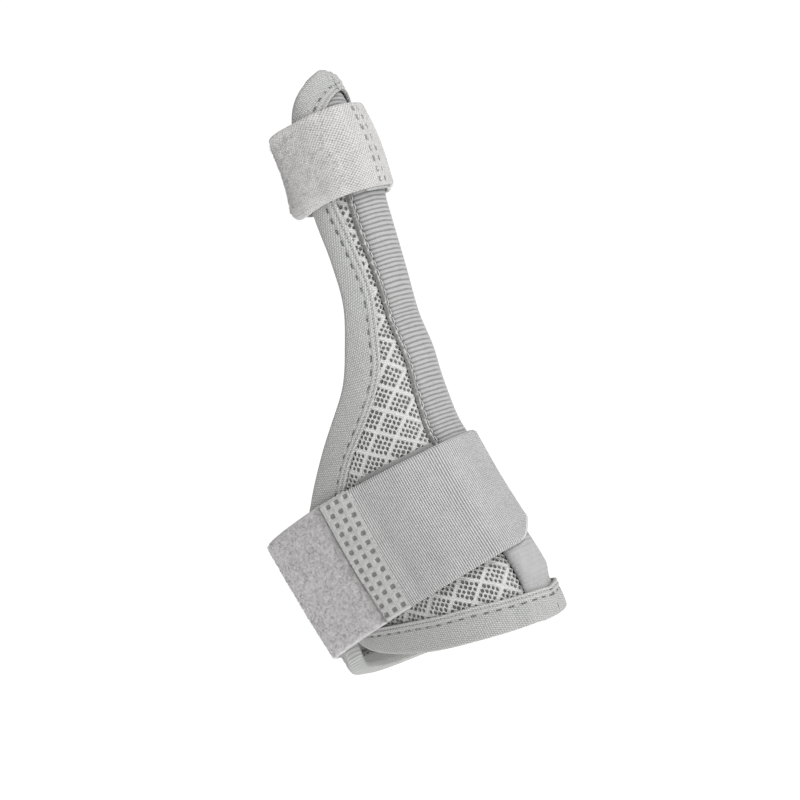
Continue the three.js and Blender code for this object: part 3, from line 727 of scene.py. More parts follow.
def taped(name, u, z, wide, in_u, in_z, gathers):
    """A length of folded tape along an edge, with small gathers where it is eased round a bend."""
    d, h, from_stitches = tape_section(wide)
    run = run_along(u, z)
    pu = u[:, None] + in_u[:, None] * d
    outward = np.sign(u)[:, None]
    pu = np.where((z[:, None] > 0) & (pu * outward < 0), 0, pu)
    pz = z[:, None] + in_z[:, None] * d
    upper = (h > MESH_THICK) & (d > 0)
    ripple = GATHER_RISE * gathers[:, None] * (np.sin(2 * math.pi * run / GATHER_PITCH)[:, None] - 0.4)
    ripple = ripple * np.clip(1 - d / wide[:, None], 0, 1) ** 0.5
    h = h + np.where(upper, SLEEVE_END_LIFT * over_sleeve_end(pu, pz) + ripple, 0)
    faces = tube_faces(*d.shape)[:, [0, 3, 2, 1]]
    lay = np.stack([np.broadcast_to(run[:, None], d.shape), from_stitches], axis=-1).reshape(-1, 2)
    return sewn(name, on_form(pu, pz, h).reshape(-1, 3), faces, lay, [knit])


def threads(name, paths, radius, sides=6):
    """Short lengths of thread, each a run of points in millimetres that dips in at both ends."""
    points, faces, lays = [], [], []
    start = 0
    for path in paths:
        path = np.asarray(path)
        count = len(path)
        ring, turn = rings_round(np.gradient(path, axis=0), sides)
        taper = radius * np.sqrt(np.clip(np.sin(np.linspace(0.12, math.pi - 0.12, count)), 0, 1))
        body = path[:, None, :] + ring * taper[:, None, None]
        points.append(body.reshape(-1, 3))
        faces.append(tube_faces(count, sides) + start)
        along_run = np.repeat(np.linspace(0, 3, count), sides)
        lays.append(np.stack([along_run, np.tile(turn, count) * radius], axis=1))
        start += count * sides
    return sewn(name, np.vstack(points), np.concatenate(faces), np.vstack(lays), [sewing])


def stitch_row(u, z, height, pitch, length, dip=0.35):
    """Stitches along a flat path: each rises out of the cloth and dips back in."""
    run = run_along(u, z)
    paths = []
    count = int((run[-1] - length) / pitch)
    for k in range(count + 1):
        at = k * pitch + np.linspace(0, length, 7)
        pu, pz = np.interp(at, run, u), np.interp(at, run, z)
        base = np.interp(at, run, height) if np.ndim(height) else height
        arch = np.sin(np.linspace(0, math.pi, 7)) * dip
        paths.append(on_form(pu, pz, base - dip + arch))
    return paths


cuff = [np.concatenate(pair) for pair in zip(
    stations(-1, np.linspace(DORSAL_SPLIT, 0, 240)), stations(1, np.linspace(0, PALMAR_SPLIT, 330)[1:]))]
edge = [np.concatenate(pair) for pair in zip(
    stations(1, np.linspace(PALMAR_SPLIT + SPLIT_GAP, 1, 480)),
    stations(-1, np.linspace(1, DORSAL_SPLIT + SPLIT_GAP, 420)[1:]))]
for name, part, nodes in (
        ("cuff_tape", cuff, ["cuff_binding"]), ("edge_tape", edge, ["dorsal_binding", "palmar_binding"])):
    u, z, wide, in_u, in_z = part
    gathers = smooth(GATHER_FROM, GATHER_FULL, z) * smooth(-3, 1, u) * (1 - smooth(9, 12, u))
    tape = taped(name, u, z, wide, in_u, in_z, gathers)
    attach(tape, "root")
    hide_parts(*nodes)
    row_u, row_z = u + in_u * (wide - LIP_WIDE), z + in_z * (wide - LIP_WIDE)
    height = BINDING_TOP - 0.25 + SLEEVE_END_LIFT * over_sleeve_end(row_u, row_z)
    rows = stitch_row(row_u, row_z, height, STITCH_PITCH, STITCH_LENGTH)
    stitching = threads(name + "_stitches", rows, STITCH_RADIUS)
    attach(stitching, "root")

# The stay lies in a sleeve of ribbed webbing sewn down the middle of the thumb side. Its ribs run across
# and flatten towards the palm and the cuff. A fold of tape with bright stitches edges it on both sides.
SLEEVE_THICK, SLEEVE_THUMB_THICK = 2.5, 1.5
SLEEVE_THINS_FROM, SLEEVE_THINS_TO = 15, 40
SLEEVE_CROWN = 0.3
SLEEVE_RAMP = 5
SLEEVE_TUCK, SLEEVE_TUCK_ROOM = 6, 2
SLEEVE_TIP_DROP = 8
SLEEVE_TIP_THIN = 15.6
SLEEVE_TIP_ROUND = 5
RIB_PITCH = 1.54
RIB_RISE = 0.2
RIBS_FROM, RIBS_FULL = -26, -20
GROOVE_HALF = 0.3
PIPING_THICK = 1.2
PIPING_LOW = -9
PIPING_TUCK = 3
THUMB_STRAP_RISE = 122.5
PIPING_STITCH, PIPING_STITCH_LENGTH, PIPING_STITCH_RADIUS = 3.3, 2.7, 0.17
SLEEVE_SWAY = 1.4
SWAY_LOW, SWAY_FULL, SWAY_LESS, SWAY_HIGH = 24, 50, 72, 100

webbing, dye, u_mm, v_mm = cloth("ribbed_webbing")
groove = v_mm.line(RIB_PITCH, 0.14, 0.34)
wefts = (u_mm + v_mm * 0.35).wave(0.55)
speckle = flat_noise(dye, u_mm, v_mm, 1.1, 2.4)
cloud = solid_noise(dye, 0.25, 3)
ribbed = v_mm.fit(RIBS_FROM, RIBS_FULL) * (1 - u_mm.fit(1.0, 9.0) * 0.65)
tone = 0.4 + wefts * 0.1 + speckle * 0.34 + cloud * 0.2 - groove * (ribbed * 0.4 + 0.04)
# Painted shadow: the webbing darkens towards its back-side edge, beside the net.
painted_edge_shadow = u_mm.fit(-6.5, -9.5) * 0.14
tone = tone - painted_edge_shadow
dress(webbing, dye, tone.between(grey(88, 88, 88), grey(184, 184, 184)), wefts + speckle, 0.08)

folded, dye, u_mm, v_mm = cloth("folded_edge")
dashes = flat_noise(dye, u_mm, v_mm, 1.2, 0.8).fit(0.5, 0.62)
speckle = flat_noise(dye, u_mm, v_mm, 2.6, 2.6, detail=2)
# Painted shade: the fold darkens along its outer side, next to the net.
painted_outer_shade = u_mm.size().fit(PIPING_END - 0.75, PIPING_END - 0.3)
tone = dashes * 0.5 + speckle * 0.45 - painted_outer_shade * 0.5
dress(folded, dye, tone.between(grey(112, 112, 111), grey(204, 204, 202)), speckle, 0.1)


def rib_phase(u, z):
    """Which rib a place is on; the ribs sway a little and are not quite even."""
    return z / RIB_PITCH + 0.14 * np.sin(z * 0.37) + 0.035 * np.sin(u * 0.7 + z * 0.9) + 0.012 * u


def sway(z):
    """How far the worn sleeve strays towards the palm side, halfway up."""
    return SLEEVE_SWAY * smooth(SWAY_LOW, SWAY_FULL, z) * (1 - smooth(SWAY_LESS, SWAY_HIGH, z))


sleeve_low = -CUFF_DROP + BINDING_WIDE - SLEEVE_TUCK
sleeve_high = THUMB_RISE - SLEEVE_TIP_DROP
sleeve_z = np.linspace(sleeve_low, sleeve_high, int((sleeve_high - sleeve_low) / RIB_PITCH * 7))
short = np.clip(SLEEVE_TIP_ROUND - (sleeve_high - sleeve_z), 0, SLEEVE_TIP_ROUND)
half = SLEEVE_HALF - SLEEVE_TIP_ROUND + np.sqrt(SLEEVE_TIP_ROUND ** 2 - short ** 2)
across, z = np.meshgrid(np.linspace(-1, 1, 27), sleeve_z)
u = half[:, None] * across
from_tuck = z - sleeve_low - SLEEVE_TUCK - SLEEVE_TUCK_ROOM
full = smooth(0, SLEEVE_RAMP, np.minimum(from_tuck, sleeve_high - SLEEVE_TIP_THIN - z))
thin = smooth(SLEEVE_THINS_FROM, SLEEVE_THINS_TO, z)
thin = thin * (1 - smooth(SLEEVE_SWELLS_FROM, SLEEVE_SWELLS_TO, z))
middle = mixed(SLEEVE_THICK, SLEEVE_THUMB_THICK, thin)
phase = rib_phase(u, z)
off = np.abs(phase - np.round(phase)) * RIB_PITCH
rib = smooth(0.05, GROOVE_HALF + 0.25, off)
strength = smooth(RIBS_FROM, RIBS_FULL, z) * (1 - 0.55 * smooth(0.1, 0.95, across))
strength = strength * (1 - smooth(0.93, 1.0, np.abs(across)))
high = OVER_BODY + mixed(SLEEVE_END_THICK, middle, full) * (1 - SLEEVE_CROWN * across ** 4)
high = high - RIB_RISE * (1 - rib) * strength - 0.25 * smooth(0.94, 1.0, np.abs(across))
points, faces, lay, _ = layer(u + sway(z), z, OVER_BODY, high)
lay[:, 1] = rib_phase(lay[:, 0], lay[:, 1]) * RIB_PITCH
sleeve = sewn("stay_sleeve_webbing", points, faces, lay, [webbing])
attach(sleeve, "root")
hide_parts("stay_sleeve")

piping_z = np.linspace(PIPING_LOW, THUMB_STRAP_RISE - PIPING_TUCK, 280)
for side, node in ((-1, "dorsal_piping"), (1, "palmar_piping")):
    bend, z = np.meshgrid(np.linspace(0, 1, 9), piping_z)
    u = side * mixed(PIPING_START, PIPING_END, bend)
    high = OVER_BODY + PIPING_THICK * (0.7 - 0.5 * bend ** 2) + 0.05 * np.sin(z * 2 * math.pi / PIPING_STITCH)
    points, faces, lay, _ = layer(u + sway(z), z, OVER_BODY, high, rim_steps=4, bulge=0.1)
    lay[:, 0] -= sway(lay[:, 1])
    fold = sewn(node + "_fold", points, faces, lay, [folded])
    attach(fold, "root")
    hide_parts(node)
    seam_u = side * (PIPING_START - 0.1) + sway(piping_z)
    rows = stitch_row(seam_u, piping_z, OVER_BODY + PIPING_THICK, PIPING_STITCH, PIPING_STITCH_LENGTH)
    stitching = threads(node + "_stitches", rows, PIPING_STITCH_RADIUS)
    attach(stitching, "root")

# The wrist strap starts as wide ribbed elastic, sewn down on the palm side with its lower corner cut away.
# It passes over the sleeve to the back side, and ends in a joint of three rows of sewn windows.
WRIST_STRAP_WIDE = 45.6
WRIST_STRAP_RISE = -0.2
ELASTIC_THICK = 1.8
ELASTIC_START = 17
WRIST_JOINT, WRIST_JOINT_WIDE = 52, 10.5
JOINT_RAMP, JOINT_PRESS = 4, 0.4
TAB_THICK, TAB_FLAP_THICK = 2.2, 0.9
TAB_BEND, TAB_END, TAB_ROUND = 0.8, 22, 12
HOOK_THICK, HOOK_INSET, HOOK_END = 1.2, 3, 41
OVER_BINDING = BINDING_TOP + LAYER_GAP
OVER_SLEEVE = OVER_BODY + SLEEVE_THICK + LAYER_GAP
# at: share of WRIST_JOINT from the thumb side; top and bottom: share of half the strap's width
ELASTIC_EDGES = np.array([
    (-1.0, 1.0, -1.0),
    (-0.56, 0.92, -1.0),
    (-0.21, 0.877, -1.0),
    (-0.1, 0.877, -1.0),
    (0.144, 0.886, -0.72),
    (0.327, 0.886, -0.52),
])
ELASTIC_RIB = 0.66
WINDOW_PITCH = 3.45
WINDOW_HALF = 0.86
WINDOW_DEPTH = 0.5
WINDOW_ROWS, WINDOW_COLUMNS = 13, 3
WINDOW_FROM = 2.0
PLY_AND_SHADOW_REACH = 1.9
JOINT_LEAN = 0.9
JOINT_THREAD, JOINT_DIP = 0.14, 0.16
ALONG_STITCH, ALONG_LENGTH, TWIN_ROWS = 1.72, 1.6, 0.26
ACROSS_STITCH, ACROSS_LENGTH = 1.7, 1.5
PLY_START, PLY_TUCK, PLY_THICK = 37, 3, 0.75
CUT_EDGE_RADIUS = 0.55

elastic, dye, u_mm, v_mm = cloth("ribbed_elastic")
ribs = u_mm.wave(ELASTIC_RIB)
picks = (v_mm + ribs * 0.22).wave(0.72)
speckle = flat_noise(dye, u_mm, v_mm, 1.4, 0.9)
cloud = solid_noise(dye, 0.12, 3)
tone = ribs * 0.62 + picks * 0.14 + speckle * 0.36 + cloud * 0.2 - 0.18
dress(elastic, dye, tone.between(grey(112, 112, 112), grey(214, 214, 214)), ribs + picks * 0.4, 0.26)

joint_cloth, dye, u_mm, v_mm = cloth("joint_cloth")
speckle = solid_noise(dye, 2.4, 3)
cloud = solid_noise(dye, 0.6, 3)
tone = speckle * 0.5 + cloud * 0.4
dress(joint_cloth, dye, tone.between(grey(146, 146, 145), grey(216, 216, 215)), speckle, 0.15)

# Partly painted shadow: this dark grey stands both for the strap's inner ply and for the strap's shadow on
# the net.
ply_and_shadow_cloth, dye, u_mm, v_mm = cloth("elastic_under_ply_and_shadow")
speckle = flat_noise(dye, u_mm, v_mm, 1.2, 1.2)
dress(ply_and_shadow_cloth, dye, speckle.between(grey(112, 112, 112), grey(156, 156, 156)), speckle, 0.1)

window_cloth, dye, u_mm, v_mm = cloth("window_cloth")
cloud = solid_noise(dye, 1.6, 4)
dress(window_cloth, dye, cloud.between(grey(104, 104, 103), grey(150, 150, 149)), cloud, 0.2, rough=1.0)

wrist_half = WRIST_STRAP_WIDE / 2
joint_edge = -WRIST_JOINT + WRIST_JOINT_WIDE


def at_joint(u):
    return 1 - smooth(joint_edge, joint_edge + JOINT_RAMP, u)


def elastic_low(u):
    beside = np.where(u > 0, OVER_BODY, OVER_BINDING)
    return mixed(beside, OVER_SLEEVE, over_sleeve(u)) + (TAB_FLAP_THICK + LAYER_GAP) * at_joint(u)


def elastic_high(u):
    return elastic_low(u) + ELASTIC_THICK - JOINT_PRESS * at_joint(u)


def one_cloth(name, material, u, z, low, high, **rim):
    """A closed layer of a single cloth as a mesh object."""
    points, faces, lay, _ = layer(u, z, low, high, **rim)
    return sewn(name, points, faces, lay, [material])


def joint_lean(z):
    """The joint's rows lean a little, further over to the thumb at the strap's upper edge."""
    return JOINT_LEAN * (z - WRIST_STRAP_RISE) / wrist_half


def window_share(u, z):
    """How far inside a sewn window each place is, from 0 to 1."""
    across = (u - joint_lean(z) + WRIST_JOINT - WINDOW_FROM) / WINDOW_PITCH
    along = (z - WRIST_STRAP_RISE) / WINDOW_PITCH
    reach = (WINDOW_ROWS - 1) / 2
    du = np.abs(across - np.clip(np.round(across), 0, WINDOW_COLUMNS - 1)) * WINDOW_PITCH
    dz = np.abs(along - np.clip(np.round(along), -reach, reach)) * WINDOW_PITCH
    return 1 - smooth(WINDOW_HALF - 0.3, WINDOW_HALF + 0.25, (du ** 4 + dz ** 4) ** 0.25)


joint_u = np.arange(-WRIST_JOINT, joint_edge + 1.5, 0.25)
rib_u = np.linspace(joint_edge + 1.5, ELASTIC_START, 110)
strap_u = np.concatenate([joint_u, rib_u])
strap_v = np.linspace(0, 1, 169)[:, None]
bottom = WRIST_STRAP_RISE + wrist_half * column(ELASTIC_EDGES, strap_u / WRIST_JOINT, 2)
upper = WRIST_STRAP_RISE + wrist_half * column(ELASTIC_EDGES, strap_u / WRIST_JOINT, 1)
z = mixed(bottom, upper, strap_v)
u = strap_u[None, :] + 0 * z
from_edge = np.minimum(z - bottom, upper - z)
soft = smooth(0, 0.9, from_edge) * smooth(0, 0.9, ELASTIC_START - u)
inside = window_share(u, z)
in_joint = 1 - smooth(joint_edge - 0.4, joint_edge + 0.6, u - joint_lean(z))
pull = 0.07 * np.sin(u * 0.9 + 0.4 * np.sin(z * 0.3)) * (1 - in_joint)
high = elastic_high(u) - 0.45 * (1 - soft) - WINDOW_DEPTH * inside + pull * soft
points, faces, lay, sides = layer(u, z, elastic_low(u), high, rim_steps=3, bulge=0.2)
middle_u, middle_z = lay[faces].mean(axis=1).T
slots = np.where(middle_u - joint_lean(middle_z) < joint_edge + 0.2, 1, 0)
slots = np.where((sides == 0) & (window_share(middle_u, middle_z) > 0.55), 2, slots)
band = sewn("wrist_strap_elastic_band", points, faces, lay, [elastic, joint_cloth, window_cloth], slots)
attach(band, "root")
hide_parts("wrist_strap_elastic")

rows = []
line_z = np.linspace(0.6 - wrist_half, wrist_half - 0.6, 160) + WRIST_STRAP_RISE
for k in range(WINDOW_COLUMNS + 1):
    for shift in (-TWIN_ROWS, TWIN_ROWS):
        line_u = -WRIST_JOINT + WINDOW_FROM + WINDOW_PITCH * (k - 0.5) + shift + joint_lean(line_z)
        line_u = np.maximum(line_u, -WRIST_JOINT + 0.25)
        line_high = elastic_high(line_u) + 0.12
        rows += stitch_row(line_u, line_z, line_high, ALONG_STITCH, ALONG_LENGTH, dip=JOINT_DIP)
for k in range(WINDOW_ROWS + 1):
    across_u = np.linspace(-WRIST_JOINT + 0.4, joint_edge + 0.2, 30)
    level_z = WRIST_STRAP_RISE + WINDOW_PITCH * (k - WINDOW_ROWS / 2) + 0 * across_u
    level_z = np.clip(level_z, 0.5 - wrist_half, wrist_half - 0.7)
    level_high = elastic_high(across_u) + 0.1
    rows += stitch_row(across_u, level_z, level_high, ACROSS_STITCH, ACROSS_LENGTH, dip=JOINT_DIP)
joint_threads = threads("wrist_joint_stitches", rows, JOINT_THREAD, sides=5)
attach(joint_threads, "root")

# A dark band sticks out above the strap's top edge over the net: partly a real inner ply of the strap, partly
# painted shadow of the strap.
ply_u = np.linspace(-PLY_START, -PIPING_END - 0.6, 60)[None, :]
ply_top = WRIST_STRAP_RISE + wrist_half * column(ELASTIC_EDGES, ply_u / WRIST_JOINT, 1)
ply_v = np.linspace(-PLY_TUCK, PLY_AND_SHADOW_REACH, 14)[:, None]
u, z = np.broadcast_arrays(ply_u, ply_top + ply_v)
ply_high = OVER_BODY + PLY_THICK
ply = one_cloth("wrist_strap_under_ply_and_shadow", ply_and_shadow_cloth, u, z, MESH_THICK + 0.1, ply_high, rim_steps=3)
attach(ply, "root")

rim_u = np.linspace(-4.5, ELASTIC_START - 0.4, 120)
rim_z = WRIST_STRAP_RISE + wrist_half * column(ELASTIC_EDGES, rim_u / WRIST_JOINT, 2) + 0.35
rim_path = on_form(rim_u, rim_z, elastic_high(rim_u) - 0.25)
cut_rim = threads("wrist_strap_cut_edge", [rim_path], CUT_EDGE_RADIUS, sides=8)
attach(cut_rim, "root")

# The free part of the wrist strap is a brushed velour tab, sewn under the elastic at the joint. It goes
# round the outside and closes on the palm side over a patch of hook tape, with round corners.
VELOUR_FIBRES, VELOUR_FADE = 6400, 85
FIBRE_SIDES, FIBRE_RINGS = 3, 3
TAB_COLUMNS, TAB_ROWS = 230, 81
velour, dye, u_mm, v_mm = cloth("brushed_velour")
pile = solid_noise(dye, 3.0, 4, roughness=0.75)
brushed_way = flat_noise(dye, u_mm, v_mm, 0.35, 0.9, detail=4)
lumps = solid_noise(dye, 0.3, 4, roughness=0.65)
tone = pile * 0.95 + brushed_way * 0.8 + lumps * 0.35 - 0.56
colour = tone.between(grey(148, 146, 147), grey(234, 231, 232))
dress(velour, dye, colour, pile + lumps * 0.4, 0.3, rough=1.0)
velour.node_tree.nodes["Principled BSDF"].inputs["Sheen Weight"].default_value = 0.2


def rounded_half(half, from_end, radius):
    short = radius - np.clip(from_end, 0, radius)
    return half - radius + np.sqrt(radius ** 2 - short ** 2)


def strap_grid(start, end, turn, middle_of, half_of, along, across):
    """A strap's u and z from one place to another, where turn 1 ends a whole turn further round."""
    share = along[None, :]
    around = girth(middle_of(np.array(0.0)))
    at_middle = mixed(start, end - turn * around, share)
    z = middle_of(at_middle) + across[:, None] * half_of(at_middle + around)
    return mixed(start, end - turn * girth(z), share), z


def wrist_grid(start, end, columns, half, rows):
    """A plain rectangle's u and z, halfway up the wrist strap."""
    return np.meshgrid(np.linspace(start, end, columns), WRIST_STRAP_RISE + half * np.linspace(-1, 1, rows))


tab_along, tab_v = np.linspace(0, 1, TAB_COLUMNS), np.linspace(-1, 1, TAB_ROWS)
u, z = strap_grid(-WRIST_JOINT - TAB_BEND, TAB_END, 1, lambda u: WRIST_STRAP_RISE + 0 * u,
                  lambda again: rounded_half(wrist_half, again - TAB_END, TAB_ROUND), tab_along, tab_v)
again = u + girth(z)
soft_edge = smooth(0.0, 0.05, 1 - np.abs(tab_v))[:, None] * smooth(0, 2.0, again - TAB_END + 0.4)
rng = np.random.default_rng(5)
coarse = rng.normal(0, 1, (28, 84))


def ruffled(shape, table):
    """Smooth random lumps over a grid, from a small table of seeded heights."""
    rows = np.linspace(0, table.shape[0] - 1.001, shape[0])
    cols = np.linspace(0, table.shape[1] - 1.001, shape[1])
    i, j = rows.astype(int), cols.astype(int)
    a, b = (rows - i)[:, None], (cols - j)[None, :]
    a, b = a * a * (3 - 2 * a), b * b * (3 - 2 * b)
    near = mixed(table[i][:, j], table[i][:, j + 1], b)
    far = mixed(table[i + 1][:, j], table[i + 1][:, j + 1], b)
    return mixed(near, far, a)


fine = rng.normal(0, 1, (96, 300))
high = OVER_BINDING + TAB_THICK - 0.45 * (1 - soft_edge) + 0.05 * ruffled(u.shape, coarse)
high = high + 0.06 * ruffled(u.shape, fine) * soft_edge
points, faces, lay, _ = layer(u, z, OVER_BINDING, high, rim_steps=4, bulge=0.3)
flap_u, flap_z = wrist_grid(-WRIST_JOINT, joint_edge - 1, 12, wrist_half - 0.2, 12)
flap = layer(flap_u, flap_z, OVER_BINDING, OVER_BINDING + TAB_FLAP_THICK)
faces = np.concatenate([faces, flap[1] + len(points)])
tab = sewn("wrist_strap_velour_tab", np.vstack([points, flap[0]]), faces, np.vstack([lay, flap[2]]), [velour])
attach(tab, "root")
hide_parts("wrist_strap_tab")


def fuzz_fibres(name, u, z, height, length, stand, radius, material, seed):
    """Loose fibres that lie every way over brushed cloth and stand a little off it, one at each place."""
    rng = np.random.default_rng(seed)
    way = rng.uniform(0, 2 * math.pi, u.shape)
    reach = length * rng.uniform(0.5, 1.2, u.shape)
    lifted_by = stand * rng.uniform(0.2, 1.0, u.shape)
    spine = []
    for share, rise in ((0.0, -0.15), (0.5, 0.75), (1.0, 1.0)):
        bent = way + 0.8 * share * rng.normal(0, 1, u.shape)
        along = reach * share
        spine.append(on_form(u + np.cos(bent) * along, z + np.sin(bent) * along, height + lifted_by * rise))
    spine = np.stack(spine, axis=1)
    ring, _ = rings_round(spine[:, 2] - spine[:, 0], FIBRE_SIDES)
    thick = radius * np.array([1.0, 0.85, 0.3])
    points = spine[:, :, None] + ring[:, None] * thick[:, None, None]
    count = FIBRE_RINGS * FIBRE_SIDES
    start = np.arange(len(u))[:, None] * count
    faces = np.concatenate([start + face for face in tube_faces(FIBRE_RINGS, FIBRE_SIDES)])
    lay = np.repeat(np.stack([u, z], axis=1), count, axis=0)
    return sewn(name, points.reshape(-1, 3), faces, lay, [material])


fibre_u = -WRIST_JOINT - 0.3 - VELOUR_FADE * rng.uniform(0, 1, VELOUR_FIBRES) ** 1.6
fibre_z = WRIST_STRAP_RISE + wrist_half * rng.uniform(-0.99, 0.99, VELOUR_FIBRES)
fibre_height = OVER_BINDING + TAB_THICK
fibres = fuzz_fibres("wrist_strap_velour_fibres", fibre_u, fibre_z, fibre_height,
                     length=1.1, stand=0.4, radius=0.055, material=velour, seed=21)
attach(fibres, "root")

# A patch of stiff nylon hook tape is sewn flat on the palm side's panel. The tab's end closes over all
# of it.
hooks, dye, u_mm, v_mm = cloth("hook_tape")
dots = u_mm.wave(1.2) * v_mm.wave(1.2)
dress(hooks, dye, dots.between(grey(120, 120, 120), grey(160, 160, 160)), dots, 0.3, rough=0.7)
u, z = wrist_grid(TAB_END + HOOK_INSET, HOOK_END, 24, wrist_half - HOOK_INSET, 30)
patch = one_cloth("wrist_hook_tape", hooks, u, z, OVER_BODY, OVER_BODY + HOOK_THICK)
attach(patch, "root")
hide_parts("wrist_hook_patch")

# The thumb strap is pale woven tape, brushed towards its free end. It is sewn by two rows of stitch
# windows to a short flat elastic on the palm side, whose rolled end peeps out below the tape.
THUMB_STRAP_WIDE = 28
THUMB_STRAP_LEAN = 4
TAPE_THICK = 1.5
TAPE_START, TAPE_END = 6, 10
TAPE_SLACK = 1.9
THUMB_ELASTIC_THICK, THUMB_ELASTIC_EXTRA, THUMB_ELASTIC_END = 0.9, 1, 25
THUMB_HOOK_THICK = 0.9
WEAVE_ALONG, WEAVE_ACROSS = 1.04, 0.78
SELVAGE = 2.8
WOVEN_SHARE = 0.38
SLOT_ROWS, SLOT_PITCH = 8, 3.4
SLOT_COLUMNS, SLOT_APART, SLOT_MIDDLE = 2, 2.7, -0.9
ROLL_RADIUS = 0.95
TAPE_FIBRES = 4200
# Where the worn tape turns to its far side the edges draw in: the top drops, the bottom sags, then lifts
TURN_AT, TURN_DROP, TURN_SAG, TURN_LIFT, TURN_SPREAD = 33, 2.8, 2.2, 2.8, 7

narrow, dye, u_mm, v_mm = cloth("narrow_elastic")
ribs = v_mm.wave(0.9)
cloud = solid_noise(dye, 0.6, 3)
dress(narrow, dye, (ribs * 0.4 + cloud * 0.5).between(grey(150, 150, 150), grey(204, 204, 204)), ribs, 0.12)

woven, dye, u_mm, v_mm = cloth("woven_tape")
warp = v_mm.wave(WEAVE_ALONG)
weft = (u_mm + v_mm * 0.06).wave(WEAVE_ACROSS)
checks = (warp - 0.5) * (weft - 0.5) * 2 + 0.5
speckle = flat_noise(dye, u_mm, v_mm, 1.6, 1.6)
fuzz = flat_noise(dye, u_mm, v_mm, 0.9, 2.6, detail=4)
cloud = solid_noise(dye, 0.2, 3)
brushed = u_mm.fit(-9, -24)
plain = checks * 0.62 + speckle * 0.8 - 0.26
# The brushed part is lifted to a lighter tone: partly its own paler brushed face, partly painted light where
# the tape turns away from the lamps.
tone = plain + (fuzz * 0.7 + 0.37 - plain) * brushed + cloud * 0.25 - 0.1
colour = tone.between(grey(126, 125, 124), grey(220, 219, 218))
dress(woven, dye, colour, checks + speckle + fuzz * brushed, 0.2)


def thumb_middle(u):
    """The thumb strap's middle, which climbs towards its far side."""
    return THUMB_STRAP_RISE + THUMB_STRAP_LEAN * (1 - np.cos(2 * math.pi * u / girth(THUMB_STRAP_RISE))) / 2


u, z = strap_grid(-TAPE_START, THUMB_ELASTIC_END, 0, thumb_middle,
                  lambda again: (THUMB_STRAP_WIDE + THUMB_ELASTIC_EXTRA) / 2,
                  np.linspace(0, 1, 50), np.linspace(-1, 1, 40))
low = mixed(OVER_BINDING, OVER_SLEEVE, over_sleeve(u))
high = low + THUMB_ELASTIC_THICK
short_elastic = one_cloth("thumb_elastic_band", narrow, u, z, low, high, rim_steps=5, bulge=0.45)
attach(short_elastic, "root")
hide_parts("thumb_elastic")

roll_u = np.linspace(4, 15, 40)
roll_z = thumb_middle(roll_u) - THUMB_STRAP_WIDE / 2 - 0.55
roll_low = mixed(OVER_BINDING, OVER_SLEEVE, over_sleeve(roll_u))
roll = threads("thumb_elastic_rolled_edge", [on_form(roll_u, roll_z, roll_low + 0.45)], ROLL_RADIUS, sides=12)
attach(roll, "root")

elastic_lift = THUMB_ELASTIC_THICK + LAYER_GAP
thumb_hook_low = OVER_BINDING + elastic_lift
u, z = strap_grid(TAPE_END + 6, THUMB_ELASTIC_END - 1, 0, thumb_middle,
                  lambda again: THUMB_STRAP_WIDE / 2 - HOOK_INSET,
                  np.linspace(0, 1, 12), np.linspace(-1, 1, 24))
patch = one_cloth("thumb_hook_tape", hooks, u, z, thumb_hook_low, thumb_hook_low + THUMB_HOOK_THICK)
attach(patch, "root")
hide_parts("thumb_hook_patch")


def tape_low(u, again):
    """The tape's underside, from the sewn start over the sleeve to the end that laps over it."""
    start = mixed(OVER_BINDING, OVER_SLEEVE, over_sleeve(u))
    sewn_down = start + elastic_lift * smooth(-TAPE_START - 5, -TAPE_START - 1, u)
    free = smooth(THUMB_COVER, THUMB_COVER + 7, -u)
    end = thumb_hook_low + THUMB_HOOK_THICK + LAYER_GAP
    back_again = 1 - smooth(THUMB_ELASTIC_END + 2, THUMB_ELASTIC_END + 10, again)
    return mixed(mixed(sewn_down, TAPE_SLACK, free), end, back_again)


def slot_share(u, z):
    """How far inside a stitch window of the thumb tape each place is, deeper in the left column."""
    column_at = np.clip(np.round((u - SLOT_MIDDLE) / SLOT_APART - 0.5), -1, SLOT_COLUMNS - 2)
    reach = (SLOT_ROWS - 1) / 2
    along = (z - thumb_middle(u)) / SLOT_PITCH
    row_at = np.clip(np.round(along - 0.5) + 0.5, -reach, reach)
    du = np.abs(u - SLOT_MIDDLE - (column_at + 0.5) * SLOT_APART)
    dz = np.abs(along - row_at) * SLOT_PITCH
    depth = np.where(column_at < 0, 1.0, 0.7)
    return (1 - smooth(0.3, 0.65, du)) * (1 - smooth(0.7, 1.1, dz)) * depth


thumb_half = THUMB_STRAP_WIDE / 2
tape_v = np.linspace(-1, 1, 131)
woven_part, brushed_part = np.linspace(0, WOVEN_SHARE, 120, endpoint=False), np.linspace(WOVEN_SHARE, 1, 84)
tape_along = np.concatenate([woven_part, brushed_part])
u, z = strap_grid(TAPE_START, TAPE_END, 1, thumb_middle, lambda again: thumb_half, tape_along, tape_v)
above, below = np.clip(tape_v, 0, 1)[:, None] ** 2, np.clip(-tape_v, 0, 1)[:, None] ** 2
past = u + TURN_AT
drop = TURN_DROP * np.exp(-(past / TURN_SPREAD) ** 2)
sag = TURN_SAG * np.exp(-((past - 8) / TURN_SPREAD) ** 2)
sag -= TURN_LIFT * np.exp(-((past + 3) / TURN_SPREAD) ** 2)
z = z - above * drop - below * sag
again = u + girth(z)
low = tape_low(u, again)
from_edge = (1 - np.abs(tape_v))[:, None] * thumb_half
in_weave = smooth(SELVAGE - 0.6, SELVAGE + 0.6, from_edge)
brushed = smooth(9, 24, -u)
over_under = np.sin((u + z * 0.06) * 2 * math.pi / WEAVE_ACROSS) * np.sin(z * 2 * math.pi / WEAVE_ALONG)
relief = 0.1 * over_under * in_weave * (1 - 0.8 * brushed) + 0.09 * ruffled(u.shape, fine) * brushed
